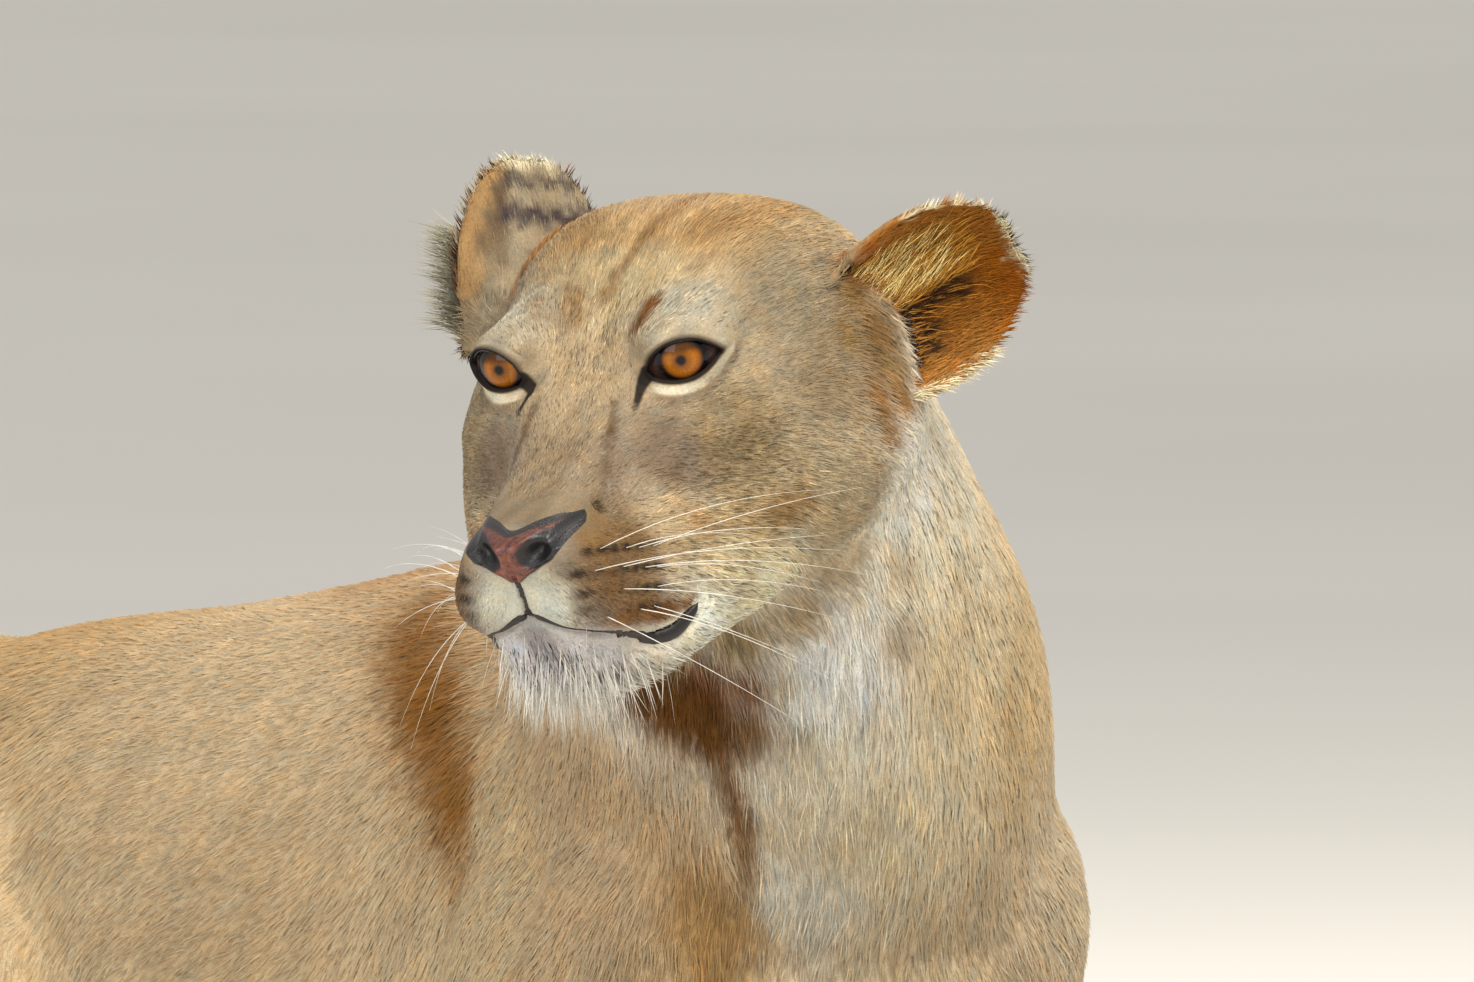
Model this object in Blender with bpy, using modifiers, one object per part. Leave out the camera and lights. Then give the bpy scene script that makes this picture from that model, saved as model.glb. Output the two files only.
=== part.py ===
"""A life-size lioness lying at rest on her chest and belly, her head turned to her right.

Metres, +Z up, the front towards -Y and her left side towards +X, the floor at Z = 0.
Muscle and bone masses are spheres, tapered limbs and lofts. They are fused into one body,
which thin cuts then part into head, neck, trunk, limbs and tail. Eyes, ears and claws are
pieces of their own. Head dimensions are centimetres about the point midway between the eyes.
"""

import math

import bmesh
import bpy
import numpy as np
from mathutils import Matrix, Vector

# ---------------------------------------------------------------- driving dimensions
SIDES = {"left": 1.0, "right": -1.0}
GAP = 0.0003  # clear space left between neighbouring pieces

EYES_AT = Vector((-0.238, -0.340, 0.568))  # the point midway between the eyes
HEAD_YAW = math.radians(50.0)  # turned to her right, from straight ahead
HEAD_NOD = math.radians(14.0)  # nose down
HEAD_ROLL = math.radians(-4.3)  # crown leaning to her left

EYE_AT = (4.75, -1.75, 0.75)  # eyeball centre: lateral, forward, up
EYE_RADIUS = 1.5
# Each ear's root, root-to-tip direction and the way its cup opens, as (outward, forward, up); length; half width.
EAR_LIES = {
    1.0: ((10.1, -12.8, -2.4), (0.52, -0.79, 0.32), (0.84, 0.54, -0.04), 9.3, 4.6),
    -1.0: ((9.6, -12.7, -0.8), (-0.16, -0.30, 0.94), (0.85, -0.53, -0.03), 8.7, 4.3),
}
EAR_WALL = 0.50

SPINE_BEND = 0.085  # how far the hips lie to her right of the chest
SPINE_LENGTH = 0.90

PAW_TOES = ((-0.036, -0.052), (-0.0135, -0.074), (0.0125, -0.076), (0.036, -0.058))
FORE_PAW = (0.136, -0.355, 1.0)  # lateral, along, size
HIND_PAW = (0.228, 0.515, 0.92)
CLAW_LENGTH = 0.024
CLAW_RADIUS = 0.0032

VOXEL = 0.0075
SOFTENING = 7
BODY_SHARE = 0.0208  # share of the fused form's triangles kept in the body and in the head
HEAD_SHARE = 0.14
FLOOR = 0.004  # soft parts are pressed flat up to here

# Leg pieces: inner and outer distance from the spine, then front, back, low and high edges.
LEG_BOXES = (
    ("forepaw", 0.0500, 0.27, -0.50, -0.285, -0.020, 0.160),
    ("forearm", 0.0970, 0.26, -0.29, 0.121, -0.021, 0.100),
    ("shoulder", 0.0960, 0.25, -0.24, 0.085, 0.095, 0.340),
    ("hindpaw", 0.1300, 0.34, 0.37, 0.590, -0.020, 0.068),
    ("hindfoot", 0.1310, 0.33, 0.58, 0.960, -0.021, 0.067),
    ("shank", 0.1290, 0.32, 0.38, 0.970, 0.060, 0.120),
    ("thigh", 0.1000, 0.31, 0.40, 0.900, 0.115, 0.360),
)

# Tail pieces: low and high corners.
TAIL_BOXES = (
    ("tail_tuft", (-0.61, 0.700, -0.05), (-0.34, 0.93, 0.13)),
    ("tail_end", (-0.60, 0.920, -0.04), (-0.36, 1.33, 0.12)),
    ("tail_middle", (-0.37, 0.970, -0.03), (-0.22, 1.32, 0.11)),
    ("tail_bend", (-0.23, 0.960, -0.02), (0.11, 1.31, 0.135)),
    ("tail_root", (-0.30, 0.962, 0.130), (0.10, 1.30, 0.40)),
)

# Head sections: forward, top, five (lateral, up) points down the side, bottom.
HEAD_SECTIONS = (
    (11.45, -6.2, (0.9, -6.3), (1.6, -7.2), (1.8, -8.4), (1.6, -10.2), (1.0, -11.9), -12.1),
    (11.1, -5.0, (1.9, -5.2), (2.6, -6.3), (3.0, -8.0), (2.7, -10.2), (1.8, -12.9), -13.3),
    (10.4, -4.65, (2.4, -4.9), (3.3, -6.2), (3.9, -8.2), (3.4, -10.6), (2.3, -13.6), -14.2),
    (9.3, -4.35, (2.4, -4.6), (3.5, -5.9), (4.5, -8.3), (4.2, -10.8), (2.9, -13.9), -14.8),
    (7.8, -3.75, (2.3, -4.0), (3.5, -5.6), (4.9, -8.5), (4.9, -11.0), (3.7, -14.2), -15.3),
    (5.9, -2.8, (2.4, -3.1), (3.7, -5.0), (5.4, -8.3), (5.7, -11.0), (4.2, -14.2), -15.3),
    (4.0, -1.8, (2.5, -2.1), (4.0, -4.0), (6.1, -7.6), (6.5, -10.8), (4.7, -14.0), -15.0),
    (1.5, -0.4, (2.8, -0.6), (4.9, -2.4), (7.2, -6.2), (7.5, -10.2), (5.3, -13.7), -14.8),
    (-1.0, 1.1, (3.3, 1.0), (6.3, -0.4), (8.4, -5.0), (8.6, -9.5), (6.1, -13.4), -14.6),
    (-3.5, 2.8, (4.1, 2.4), (7.4, 0.3), (9.4, -4.4), (9.6, -9.0), (6.9, -13.0), -14.4),
    (-6.5, 4.4, (4.7, 3.8), (8.0, 1.1), (10.2, -4.2), (10.5, -8.8), (7.5, -12.6), -14.1),
    (-10.0, 5.7, (5.2, 4.9), (8.6, 1.7), (10.8, -4.2), (11.1, -8.6), (8.0, -12.4), -13.9),
    (-13.5, 5.8, (5.4, 5.0), (9.0, 1.7), (10.9, -4.0), (11.0, -8.4), (8.2, -12.2), -13.8),
    (-17.0, 4.6, (5.6, 3.9), (9.2, 0.8), (10.6, -4.0), (10.4, -8.2), (7.8, -12.0), -13.6),
    (-20.0, 2.5, (5.0, 1.8), (8.0, -0.6), (9.2, -4.4), (9.0, -8.2), (6.6, -11.6), -13.0),
)

# The muzzle's profile: how far forward of its sections it stands at each height.
PROFILE_UP = (-14.0, -12.5, -10.6, -9.5, -7.0, -5.2, -4.0)
PROFILE_OUT = (-2.2, -1.5, -1.2, 0.0, 0.0, 1.5, 1.8)

# Face forms: centre, spread and push of each, as lateral, forward, up on the left side.
FACE_FORMS = (
    ((4.5, 0.1, 2.3), (2.1, 1.8, 0.8), (0.10, 0.65, 0.35)),  # brow
    ((4.9, 0.2, -1.2), (1.9, 1.6, 0.7), (0.10, 0.40, 0.10)),  # lower lid
    ((3.9, 1.0, 0.45), (1.1, 1.6, 0.9), (-0.15, -0.45, 0.0)),  # inner eye socket
    ((6.9, -2.0, 0.55), (1.0, 1.4, 0.8), (-0.30, -0.05, 0.0)),  # outer eye socket
    ((6.6, -0.2, -2.9), (1.9, 2.2, 1.0), (0.30, 0.50, 0.20)),  # cheek bone
    ((4.1, 4.2, -4.4), (1.2, 2.4, 1.6), (-0.45, -0.10, -0.10)),  # hollow beside the bridge
    ((3.2, 9.6, -8.2), (1.6, 2.0, 1.5), (0.40, 0.35, 0.0)),  # whisker pad
    ((5.2, 5.0, -7.0), (1.2, 1.2, 2.0), (-0.40, 0.0, 0.0)),  # crease behind the pad
    ((1.0, 9.8, -12.9), (1.9, 1.6, 1.2), (0.05, 0.20, -0.10)),  # chin
    ((4.2, 8.2, -12.0), (1.6, 2.6, 0.8), (-0.60, -0.10, 0.0)),  # under the upper lip
    ((8.6, -5.5, 1.6), (1.6, 3.0, 1.4), (-0.35, 0.0, -0.10)),  # temple
    ((9.6, -8.0, -7.6), (2.0, 3.4, 2.4), (0.35, 0.0, -0.10)),  # jaw muscle
    ((0.0, -3.0, 2.6), (0.8, 3.6, 1.8), (0.0, -0.10, -0.14)),  # furrow of the forehead
)

COAT = (0.56, 0.40, 0.23)
PALE_COAT = (0.78, 0.68, 0.52)
DARK_COAT = (0.20, 0.12, 0.07)
NOSE_LEATHER = (0.30, 0.11, 0.08)
EYE_AMBER = (0.45, 0.20, 0.04)
HORN = (0.42, 0.36, 0.28)
LOOKS = (
    ("eye", ("eye", EYE_AMBER, 0.15)),
    ("nose", ("nose_leather", NOSE_LEATHER, 0.45)),
    ("claw", ("horn", HORN, 0.35)),
    ("lower_jaw", ("pale_coat", PALE_COAT, 0.9)),
    ("tail_tuft", ("dark_coat", DARK_COAT, 0.9)),
    ("", ("coat", COAT, 0.9)),
)


# ---------------------------------------------------------------- frames and primitives
def head_frame():
    """The matrix that takes head centimetres (left, back, up) into the body frame."""
    turn = Matrix.Rotation(-HEAD_YAW, 4, "Z")
    nod = Matrix.Rotation(HEAD_NOD, 4, "X")
    tilt = Matrix.Rotation(HEAD_ROLL, 4, "Y")
    return Matrix.Translation(EYES_AT) @ turn @ nod @ tilt @ Matrix.Scale(0.01, 4)


def aimed(direction, up=(0, 0, 1)):
    """A rotation whose Y column is the direction and whose Z column leans towards up."""
    along = Vector(direction).normalized()
    side = along.cross(Vector(up)).normalized()
    top = side.cross(along)
    return Matrix((side, along, top)).transposed().to_4x4()


def ball(bm, centre, radii, direction=(0, 1, 0), frame=None):
    """An ellipsoid: radii across, along and above its direction."""
    place = Matrix.Translation(Vector(centre)) @ aimed(direction) @ Matrix.Diagonal(Vector((*radii, 1)))
    if frame is not None:
        place = frame @ place
    bmesh.ops.create_uvsphere(bm, u_segments=24, v_segments=14, radius=1, matrix=place)


def between(stations, steps):
    """Rows on a smooth curve through the stations (Catmull-Rom)."""
    p = np.asarray(stations, float)
    p = np.vstack([2 * p[0] - p[1], p, 2 * p[-1] - p[-2]])
    t = np.linspace(0, 1, steps, endpoint=False)[:, None]
    spans = [
        0.5 * (2 * b + (c - a) * t + (2 * a - 5 * b + 4 * c - d) * t**2 + (3 * b - a - 3 * c + d) * t**3)
        for a, b, c, d in zip(p[:-3], p[1:-2], p[2:-1], p[3:])
    ]
    return np.vstack([*spans, p[-2][None]])


def skin_rings(bm, rings, frame=None):
    """A closed tube through rings of equally many points, with flat ends."""
    count, around = rings.shape[:2]
    grid = [[bm.verts.new(p if frame is None else frame @ Vector(p)) for p in ring] for ring in rings]
    for i in range(count - 1):
        for j in range(around):
            k = (j + 1) % around
            bm.faces.new((grid[i][j], grid[i][k], grid[i + 1][k], grid[i + 1][j]))
    bm.faces.new(grid[0][::-1])
    bm.faces.new(grid[-1])


def limb(bm, stations, frame=None, power=2.0, axis=None, around=28):
    """A loft. Each station is x, y, z, half width, height above and depth below."""
    rows = between(stations, 7)
    path = rows[:, :3]
    along = np.gradient(path, axis=0) if axis is None else np.tile(np.asarray(axis, float), (len(path), 1))
    along /= np.linalg.norm(along, axis=1, keepdims=True)
    side = np.cross(along, (0.0, 0.0, 1.0))
    side /= np.linalg.norm(side, axis=1, keepdims=True)
    top = np.cross(side, along)
    turn = np.linspace(0, 2 * np.pi, around, endpoint=False)
    across = np.sign(np.cos(turn)) * np.abs(np.cos(turn)) ** (2 / power)
    rise = np.sign(np.sin(turn)) * np.abs(np.sin(turn)) ** (2 / power)
    half = rows[:, 3, None] * across
    high = np.where(rise > 0, rows[:, 4, None], rows[:, 5, None]) * rise
    skin_rings(bm, path[:, None] + side[:, None] * half[..., None] + top[:, None] * high[..., None], frame)


# ---------------------------------------------------------------- the animal's masses
def add_paw(bm, side, at, along, size):
    x = side * at
    ball(bm, (x, along - 0.018 * size, 0.034 * size), (0.045 * size, 0.062 * size, 0.037 * size))
    for dx, dy in PAW_TOES:
        ball(
            bm,
            (x + side * dx * size, along + dy * size, 0.026 * size),
            (0.0155 * size, 0.034 * size, 0.027 * size),
            (side * dx * 2.5, -1, -0.18),
        )
    ball(bm, (x - side * 0.036 * size, along + 0.055 * size, 0.036 * size), (0.014 * size, 0.022 * size, 0.014 * size))


def add_trunk(bm):
    limb(
        bm,
        [
            (0, -0.200, 0.215, 0.050, 0.050, 0.070),
            (0, -0.170, 0.216, 0.086, 0.105, 0.130),
            (0, -0.100, 0.216, 0.116, 0.164, 0.190),
            (0, 0.000, 0.212, 0.134, 0.212, 0.216),
            (0, 0.100, 0.207, 0.148, 0.234, 0.214),
            (0, 0.220, 0.200, 0.160, 0.238, 0.208),
            (0, 0.360, 0.192, 0.168, 0.223, 0.200),
            (0, 0.500, 0.186, 0.168, 0.207, 0.194),
            (0, 0.640, 0.190, 0.160, 0.186, 0.196),
            (0, 0.760, 0.200, 0.142, 0.155, 0.192),
            (0, 0.850, 0.210, 0.118, 0.143, 0.170),
            (0, 0.910, 0.214, 0.086, 0.112, 0.125),
            (0, 0.945, 0.214, 0.045, 0.062, 0.070),
        ],
        axis=(0, 1, 0),
        power=2.2,
    )


def add_neck(bm):
    limb(
        bm,
        [
            (0.000, 0.150, 0.250, 0.118, 0.140, 0.150),
            (0.004, 0.040, 0.275, 0.136, 0.150, 0.165),
            (0.008, -0.050, 0.320, 0.144, 0.140, 0.162),
            (-0.014, -0.125, 0.385, 0.134, 0.132, 0.148),
            (-0.056, -0.185, 0.452, 0.115, 0.124, 0.128),
            (-0.098, -0.228, 0.512, 0.100, 0.118, 0.110),
            (-0.138, -0.262, 0.548, 0.092, 0.106, 0.094),
        ],
        power=2.1,
    )


def add_foreleg(bm, side):
    ball(bm, (side * 0.072, -0.005, 0.340), (0.050, 0.125, 0.078), (side * 0.22, -0.75, -0.72))
    ball(bm, (side * 0.094, -0.118, 0.262), (0.058, 0.074, 0.092))
    limb(
        bm,
        [
            (side * 0.102, -0.135, 0.275, 0.048, 0.060, 0.060),
            (side * 0.112, -0.085, 0.205, 0.050, 0.072, 0.078),
            (side * 0.126, -0.025, 0.135, 0.048, 0.064, 0.070),
            (side * 0.138, 0.025, 0.085, 0.040, 0.048, 0.052),
        ],
    )
    ball(bm, (side * 0.108, -0.018, 0.220), (0.048, 0.082, 0.112), (0, 1, 0.3))
    limb(
        bm,
        [
            (side * 0.142, 0.062, 0.058, 0.030, 0.034, 0.046),
            (side * 0.144, -0.010, 0.060, 0.046, 0.050, 0.066),
            (side * 0.143, -0.090, 0.054, 0.047, 0.047, 0.060),
            (side * 0.139, -0.180, 0.047, 0.040, 0.039, 0.051),
            (side * 0.136, -0.260, 0.042, 0.037, 0.037, 0.046),
            (side * 0.136, -0.320, 0.040, 0.041, 0.037, 0.043),
            (side * 0.136, -0.355, 0.034, 0.039, 0.030, 0.036),
        ],
    )
    add_paw(bm, side, *FORE_PAW)


def add_hind_leg(bm, side):
    ball(bm, (side * 0.140, 0.655, 0.188), (0.074, 0.200, 0.140), (side * 0.12, -1, -0.26))
    ball(bm, (side * 0.100, 0.775, 0.212), (0.078, 0.118, 0.132), (0, 1, -0.2))
    ball(bm, (side * 0.182, 0.515, 0.148), (0.052, 0.082, 0.088), (0, 1, 0.2))
    ball(bm, (side * 0.150, 0.800, 0.130), (0.055, 0.090, 0.095), (0, 1, 0.0))
    limb(
        bm,
        [
            (side * 0.190, 0.500, 0.130, 0.046, 0.052, 0.055),
            (side * 0.192, 0.590, 0.108, 0.048, 0.055, 0.056),
            (side * 0.190, 0.700, 0.085, 0.042, 0.045, 0.046),
            (side * 0.188, 0.800, 0.064, 0.031, 0.032, 0.038),
            (side * 0.188, 0.875, 0.050, 0.027, 0.026, 0.040),
        ],
    )
    limb(
        bm,
        [
            (side * 0.188, 0.892, 0.038, 0.022, 0.024, 0.036),
            (side * 0.192, 0.820, 0.036, 0.029, 0.029, 0.038),
            (side * 0.206, 0.700, 0.032, 0.031, 0.029, 0.034),
            (side * 0.219, 0.590, 0.032, 0.034, 0.031, 0.034),
            (side * 0.226, 0.520, 0.032, 0.037, 0.029, 0.034),
        ],
    )
    add_paw(bm, side, *HIND_PAW)


def add_tail(bm):
    limb(
        bm,
        [
            (0.000, 0.860, 0.280, 0.046, 0.040, 0.050),
            (0.000, 0.940, 0.235, 0.038, 0.036, 0.042),
            (0.000, 1.005, 0.155, 0.030, 0.028, 0.032),
            (-0.010, 1.055, 0.080, 0.026, 0.024, 0.026),
            (-0.045, 1.100, 0.034, 0.023, 0.022, 0.026),
            (-0.120, 1.135, 0.023, 0.021, 0.020, 0.024),
            (-0.230, 1.130, 0.021, 0.0195, 0.0185, 0.022),
            (-0.325, 1.075, 0.020, 0.0185, 0.0175, 0.021),
            (-0.385, 0.985, 0.020, 0.018, 0.017, 0.021),
            (-0.405, 0.910, 0.022, 0.022, 0.021, 0.023),
            (-0.410, 0.850, 0.026, 0.029, 0.027, 0.027),
            (-0.410, 0.790, 0.024, 0.025, 0.023, 0.025),
            (-0.408, 0.745, 0.016, 0.010, 0.009, 0.013),
        ],
        around=18,
    )


def add_head(bm, frame):
    """The head as a loft from the muzzle back to the nape, through closed smooth sections."""
    rings = []
    for forward, top, *edge, bottom in HEAD_SECTIONS:
        half = [(0.0, top), *edge, (0.0, bottom)]
        p = np.array(half + [(-x, z) for x, z in half[-2:0:-1]])
        t = np.linspace(0, 1, 5, endpoint=False)[:, None]
        a, b, c, d = (np.roll(p, k, axis=0)[:, None] for k in (1, 0, -1, -2))
        ring = 0.5 * (2 * b + (c - a) * t + (2 * a - 5 * b + 4 * c - d) * t**2 + (3 * b - a - 3 * c + d) * t**3)
        ring = ring.reshape(-1, 2)
        ease = min(max((forward - 4.0) / 5.5, 0.0), 1.0)
        ahead = forward + np.interp(ring[:, 1], PROFILE_UP, PROFILE_OUT) * ease * ease * (3 - 2 * ease)
        rings.append(np.column_stack([ring[:, 0], -ahead, ring[:, 1]]).ravel())
    rows = between(rings, 4)
    skin_rings(bm, rows.reshape(len(rows), -1, 3), frame)


def sculpt_head(points):
    """Moves head points (lateral, forward, up, in centimetres) to shape brows, cheeks, lips and eye sockets.

    Each feature adds a * exp(-|p - c|^2 / 2 s^2) along its own direction.
    """
    moved = points.copy()
    for side in SIDES.values():
        for centre, spread, push in FACE_FORMS:
            offset = (points - np.array(centre) * (side, 1, 1)) / np.array(spread)
            moved += np.exp(-0.5 * (offset**2).sum(axis=1))[:, None] * np.array(push) * (side, 1, 1)
    return moved


def ear_rings(side, across_count=9, along_count=8):
    """Crescent sections of a cupped ear from its root to its tip, in head centimetres.

    At height u the cup is an arc of half angle a about its axis, R = w / sin a wide enough
    for a rim-to-rim width of 2w; the back of the arc sits one wall thickness behind the front.
    """
    root, out, face, length, half_width = EAR_LIES[side]
    out, face = Vector(out).normalized(), Vector(face)
    face = (face - face.dot(out) * out).normalized()  # the way the cup opens
    wide = out.cross(face)
    v = np.linspace(-1, 1, across_count)
    rings = []
    for u in np.linspace(-0.16, 1, along_count) ** 1:
        bulge = math.sqrt(max(1 - ((u - 0.42) / 0.60) ** 2, 0.012)) if u > 0.42 else 1 - 0.30 * ((0.42 - u) / 0.58) ** 2
        w = half_width * bulge
        a = math.radians(70 - 48 * max(u, 0))
        wall = EAR_WALL * (1.3 - 0.7 * max(u, 0))
        radius = w / math.sin(min(a, math.pi / 2))
        lean = 1.1 * max(u, 0) ** 2
        front = [(radius * math.sin(t * a), radius * (math.cos(t * a) - math.cos(a))) for t in v]
        back = [(x * (1 + wall / radius * 0.6), d + wall) for x, d in front[::-1]]
        ring = []
        for x, d in front + back:
            p = Vector(root) + out * (u * length) + wide * x - face * (d - lean)
            ring.append((side * p.x, -p.y, p.z))
        rings.append(ring)
    return np.array(rings)


# ---------------------------------------------------------------- building steps
def collection(name, hidden=False):
    found = bpy.data.collections.new(name)
    bpy.context.scene.collection.children.link(found)
    found.hide_render = hidden
    return found


def new_object(name, bm, home):
    bmesh.ops.recalc_face_normals(bm, faces=bm.faces)
    mesh = bpy.data.meshes.new(name)
    bm.to_mesh(mesh)
    bm.free()
    made = bpy.data.objects.new(name, mesh)
    home.objects.link(made)
    return made


def settle(obj):
    """Applies the object's modifiers."""
    graph = bpy.context.evaluated_depsgraph_get()
    mesh = bpy.data.meshes.new_from_object(obj.evaluated_get(graph))
    obj.modifiers.clear()
    obj.data = mesh
    return obj


def fuse(obj, voxel, rounds):
    """Joins overlapping masses into one soft closed form."""
    join = obj.modifiers.new("fuse", "REMESH")
    join.mode = "VOXEL"
    join.voxel_size = voxel
    soften = obj.modifiers.new("soften", "SMOOTH")
    soften.factor = 0.5
    soften.iterations = rounds
    return settle(obj)


def boolean(obj, other, operation):
    cut = obj.modifiers.new(operation.lower(), "BOOLEAN")
    cut.solver = "EXACT"
    cut.operation = operation
    cut.object = other
    return settle(obj)


def copy_of(obj, name, home):
    made = bpy.data.objects.new(name, obj.data.copy())
    home.objects.link(made)
    return made


def grown(obj, by, name, home):
    """A copy pushed outwards along its normals."""
    made = copy_of(obj, name, home)
    bm = bmesh.new()
    bm.from_mesh(made.data)
    for vert in bm.verts:
        vert.co += vert.normal * by
    bm.to_mesh(made.data)
    bm.free()
    return made


def box(name, low, high, home, frame=None):
    """A cutter box between two corners."""
    bm = bmesh.new()
    low, high = Vector(low), Vector(high)
    place = Matrix.Translation((low + high) / 2) @ Matrix.Diagonal((*(high - low), 1))
    bmesh.ops.create_cube(bm, size=1, matrix=place if frame is None else frame @ place)
    made = new_object(name, bm, home)
    made.display_type = "WIRE"
    return made


def shape_head(obj, frame):
    """Runs the face's sculpting over the head in its own frame."""
    flip = np.array((1, -1, 1))
    points = np.array([frame.inverted() @ vert.co for vert in obj.data.vertices]) * flip
    for vert, place in zip(obj.data.vertices, sculpt_head(points) * flip):
        vert.co = frame @ Vector(place)


def drop_crumbs(obj):
    """Keeps only the largest closed body of an object."""
    bm = bmesh.new()
    bm.from_mesh(obj.data)
    waiting, bodies = set(bm.verts), []
    while waiting:
        body, edge = set(), {waiting.pop()}
        while edge:
            body |= edge
            edge = {e.other_vert(v) for v in edge for e in v.link_edges} - body
        waiting -= body
        bodies.append(body)
    bodies.sort(key=len)
    bmesh.ops.delete(bm, geom=[v for body in bodies[:-1] for v in body], context="VERTS")
    bmesh.ops.holes_fill(bm, edges=[e for e in bm.edges if e.is_boundary], sides=12)
    bm.to_mesh(obj.data)
    bm.free()


def part_off(rest, name, low, high, home, cutters, frame=None):
    """Takes the piece of rest inside a box off as a new object and leaves a thin gap."""
    inner = box(name + "_in", low, high, cutters, frame)
    edge = Vector((1, 1, 1)) * (GAP if frame is None else GAP / frame.median_scale)
    outer = box(name + "_out", Vector(low) - edge, Vector(high) + edge, cutters, frame)
    piece = boolean(copy_of(rest, name, home), inner, "INTERSECT")
    boolean(rest, outer, "DIFFERENCE")
    for obj in (piece, rest):
        drop_crumbs(obj)
    return piece


def paint(obj, colour, roughness, slot):
    material = bpy.data.materials.get(slot) or bpy.data.materials.new(slot)
    material.use_nodes = True
    shader = material.node_tree.nodes["Principled BSDF"]
    shader.inputs["Base Color"].default_value = (*colour, 1)
    shader.inputs["Roughness"].default_value = roughness
    material.diffuse_color = (*colour, 1)
    obj.data.materials.clear()
    obj.data.materials.append(material)


def lean(along):
    """How far the spine's bend carries a place at this length to her right."""
    behind = np.clip(along, 0, 1.3 * SPINE_LENGTH) / SPINE_LENGTH
    return SPINE_BEND * behind * behind


def fused_form(cutters, frame):
    """All flesh masses as one soft closed body, resting on its flats at the floor."""
    bm = bmesh.new()
    add_trunk(bm)
    add_neck(bm)
    for side in SIDES.values():
        add_foreleg(bm, side)
        add_hind_leg(bm, side)
    add_tail(bm)
    for vert in bm.verts:
        vert.co.x -= lean(vert.co.y)
    add_head(bm, frame)
    whole = fuse(new_object("whole", bm, cutters), VOXEL, SOFTENING)
    shape_head(whole, frame)
    return whole


def thinned(obj, name, share, home):
    """A copy with this share of the triangles."""
    made = copy_of(obj, name, home)
    made.modifiers.new("thin", "DECIMATE").ratio = share
    return settle(made)


def part_head(head, flesh, home, cutters, frame):
    """Parts the eyes, nose and lower jaw from the head and sets the ears on the flesh."""
    for name, side in SIDES.items():
        at = frame @ Matrix.Translation((side * EYE_AT[0], -EYE_AT[1], EYE_AT[2]))
        for label, radius, where in (("eye_", EYE_RADIUS, home), ("socket_", EYE_RADIUS + GAP * 100, cutters)):
            bm = bmesh.new()
            bmesh.ops.create_uvsphere(bm, u_segments=16, v_segments=9, radius=radius, matrix=at)
            made = new_object(label + name, bm, where)
        boolean(head, made, "DIFFERENCE")
        bm = bmesh.new()
        skin_rings(bm, ear_rings(side), frame)
        ear = new_object("ear_" + name, bm, home)
        for solid in flesh:
            boolean(ear, solid, "DIFFERENCE")
        drop_crumbs(ear)
    part_off(head, "nose", (-2.75, -16.0, -7.1), (2.75, -10.6, -3.0), home, cutters, frame)
    drop = frame @ Matrix.Translation((0, -13.5, -10.2)) @ Matrix.Rotation(math.radians(-9.5), 4, "X")
    part_off(head, "lower_jaw", (-9.0, -3.0, -9.0), (9.0, 12.0, 0.0), home, cutters, drop)


def part_legs(body, home, cutters):
    for name, side in SIDES.items():
        for label, inner, outer, front, back, low, high in LEG_BOXES:
            middle = 0 if back < 0.2 else -lean((front + back) / 2)
            edges = sorted((middle + side * inner, middle + side * outer))
            corners = (edges[0], front, low), (edges[1], back, high)
            part_off(body, f"{label}_{name}", *corners, home, cutters)


def add_claws(home, cutters):
    """A short horn tip standing out of the front of each toe."""
    for feet, (out, along, size) in (("fore", FORE_PAW), ("hind", HIND_PAW)):
        for name, side in SIDES.items():
            paw = grown(bpy.data.objects[f"{feet}paw_{name}"], GAP, f"{feet}paw_grown", cutters)
            for number, (dx, dy) in enumerate(PAW_TOES, 1):
                root = Vector((side * (out + dx * size) - lean(along), along + (dy - 0.029) * size, 0.025 * size))
                bm = bmesh.new()
                bmesh.ops.create_cone(
                    bm,
                    cap_ends=True,
                    segments=7,
                    radius1=CLAW_RADIUS,
                    radius2=CLAW_RADIUS * 0.15,
                    depth=CLAW_LENGTH,
                    matrix=Matrix.Translation(root) @ aimed((side * dx * 2.5, -1, -0.35)) @ Matrix.Rotation(-math.pi / 2, 4, "X"),
                )
                boolean(new_object(f"claw_{feet}_{name}_{number}", bm, home), paw, "DIFFERENCE")


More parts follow.
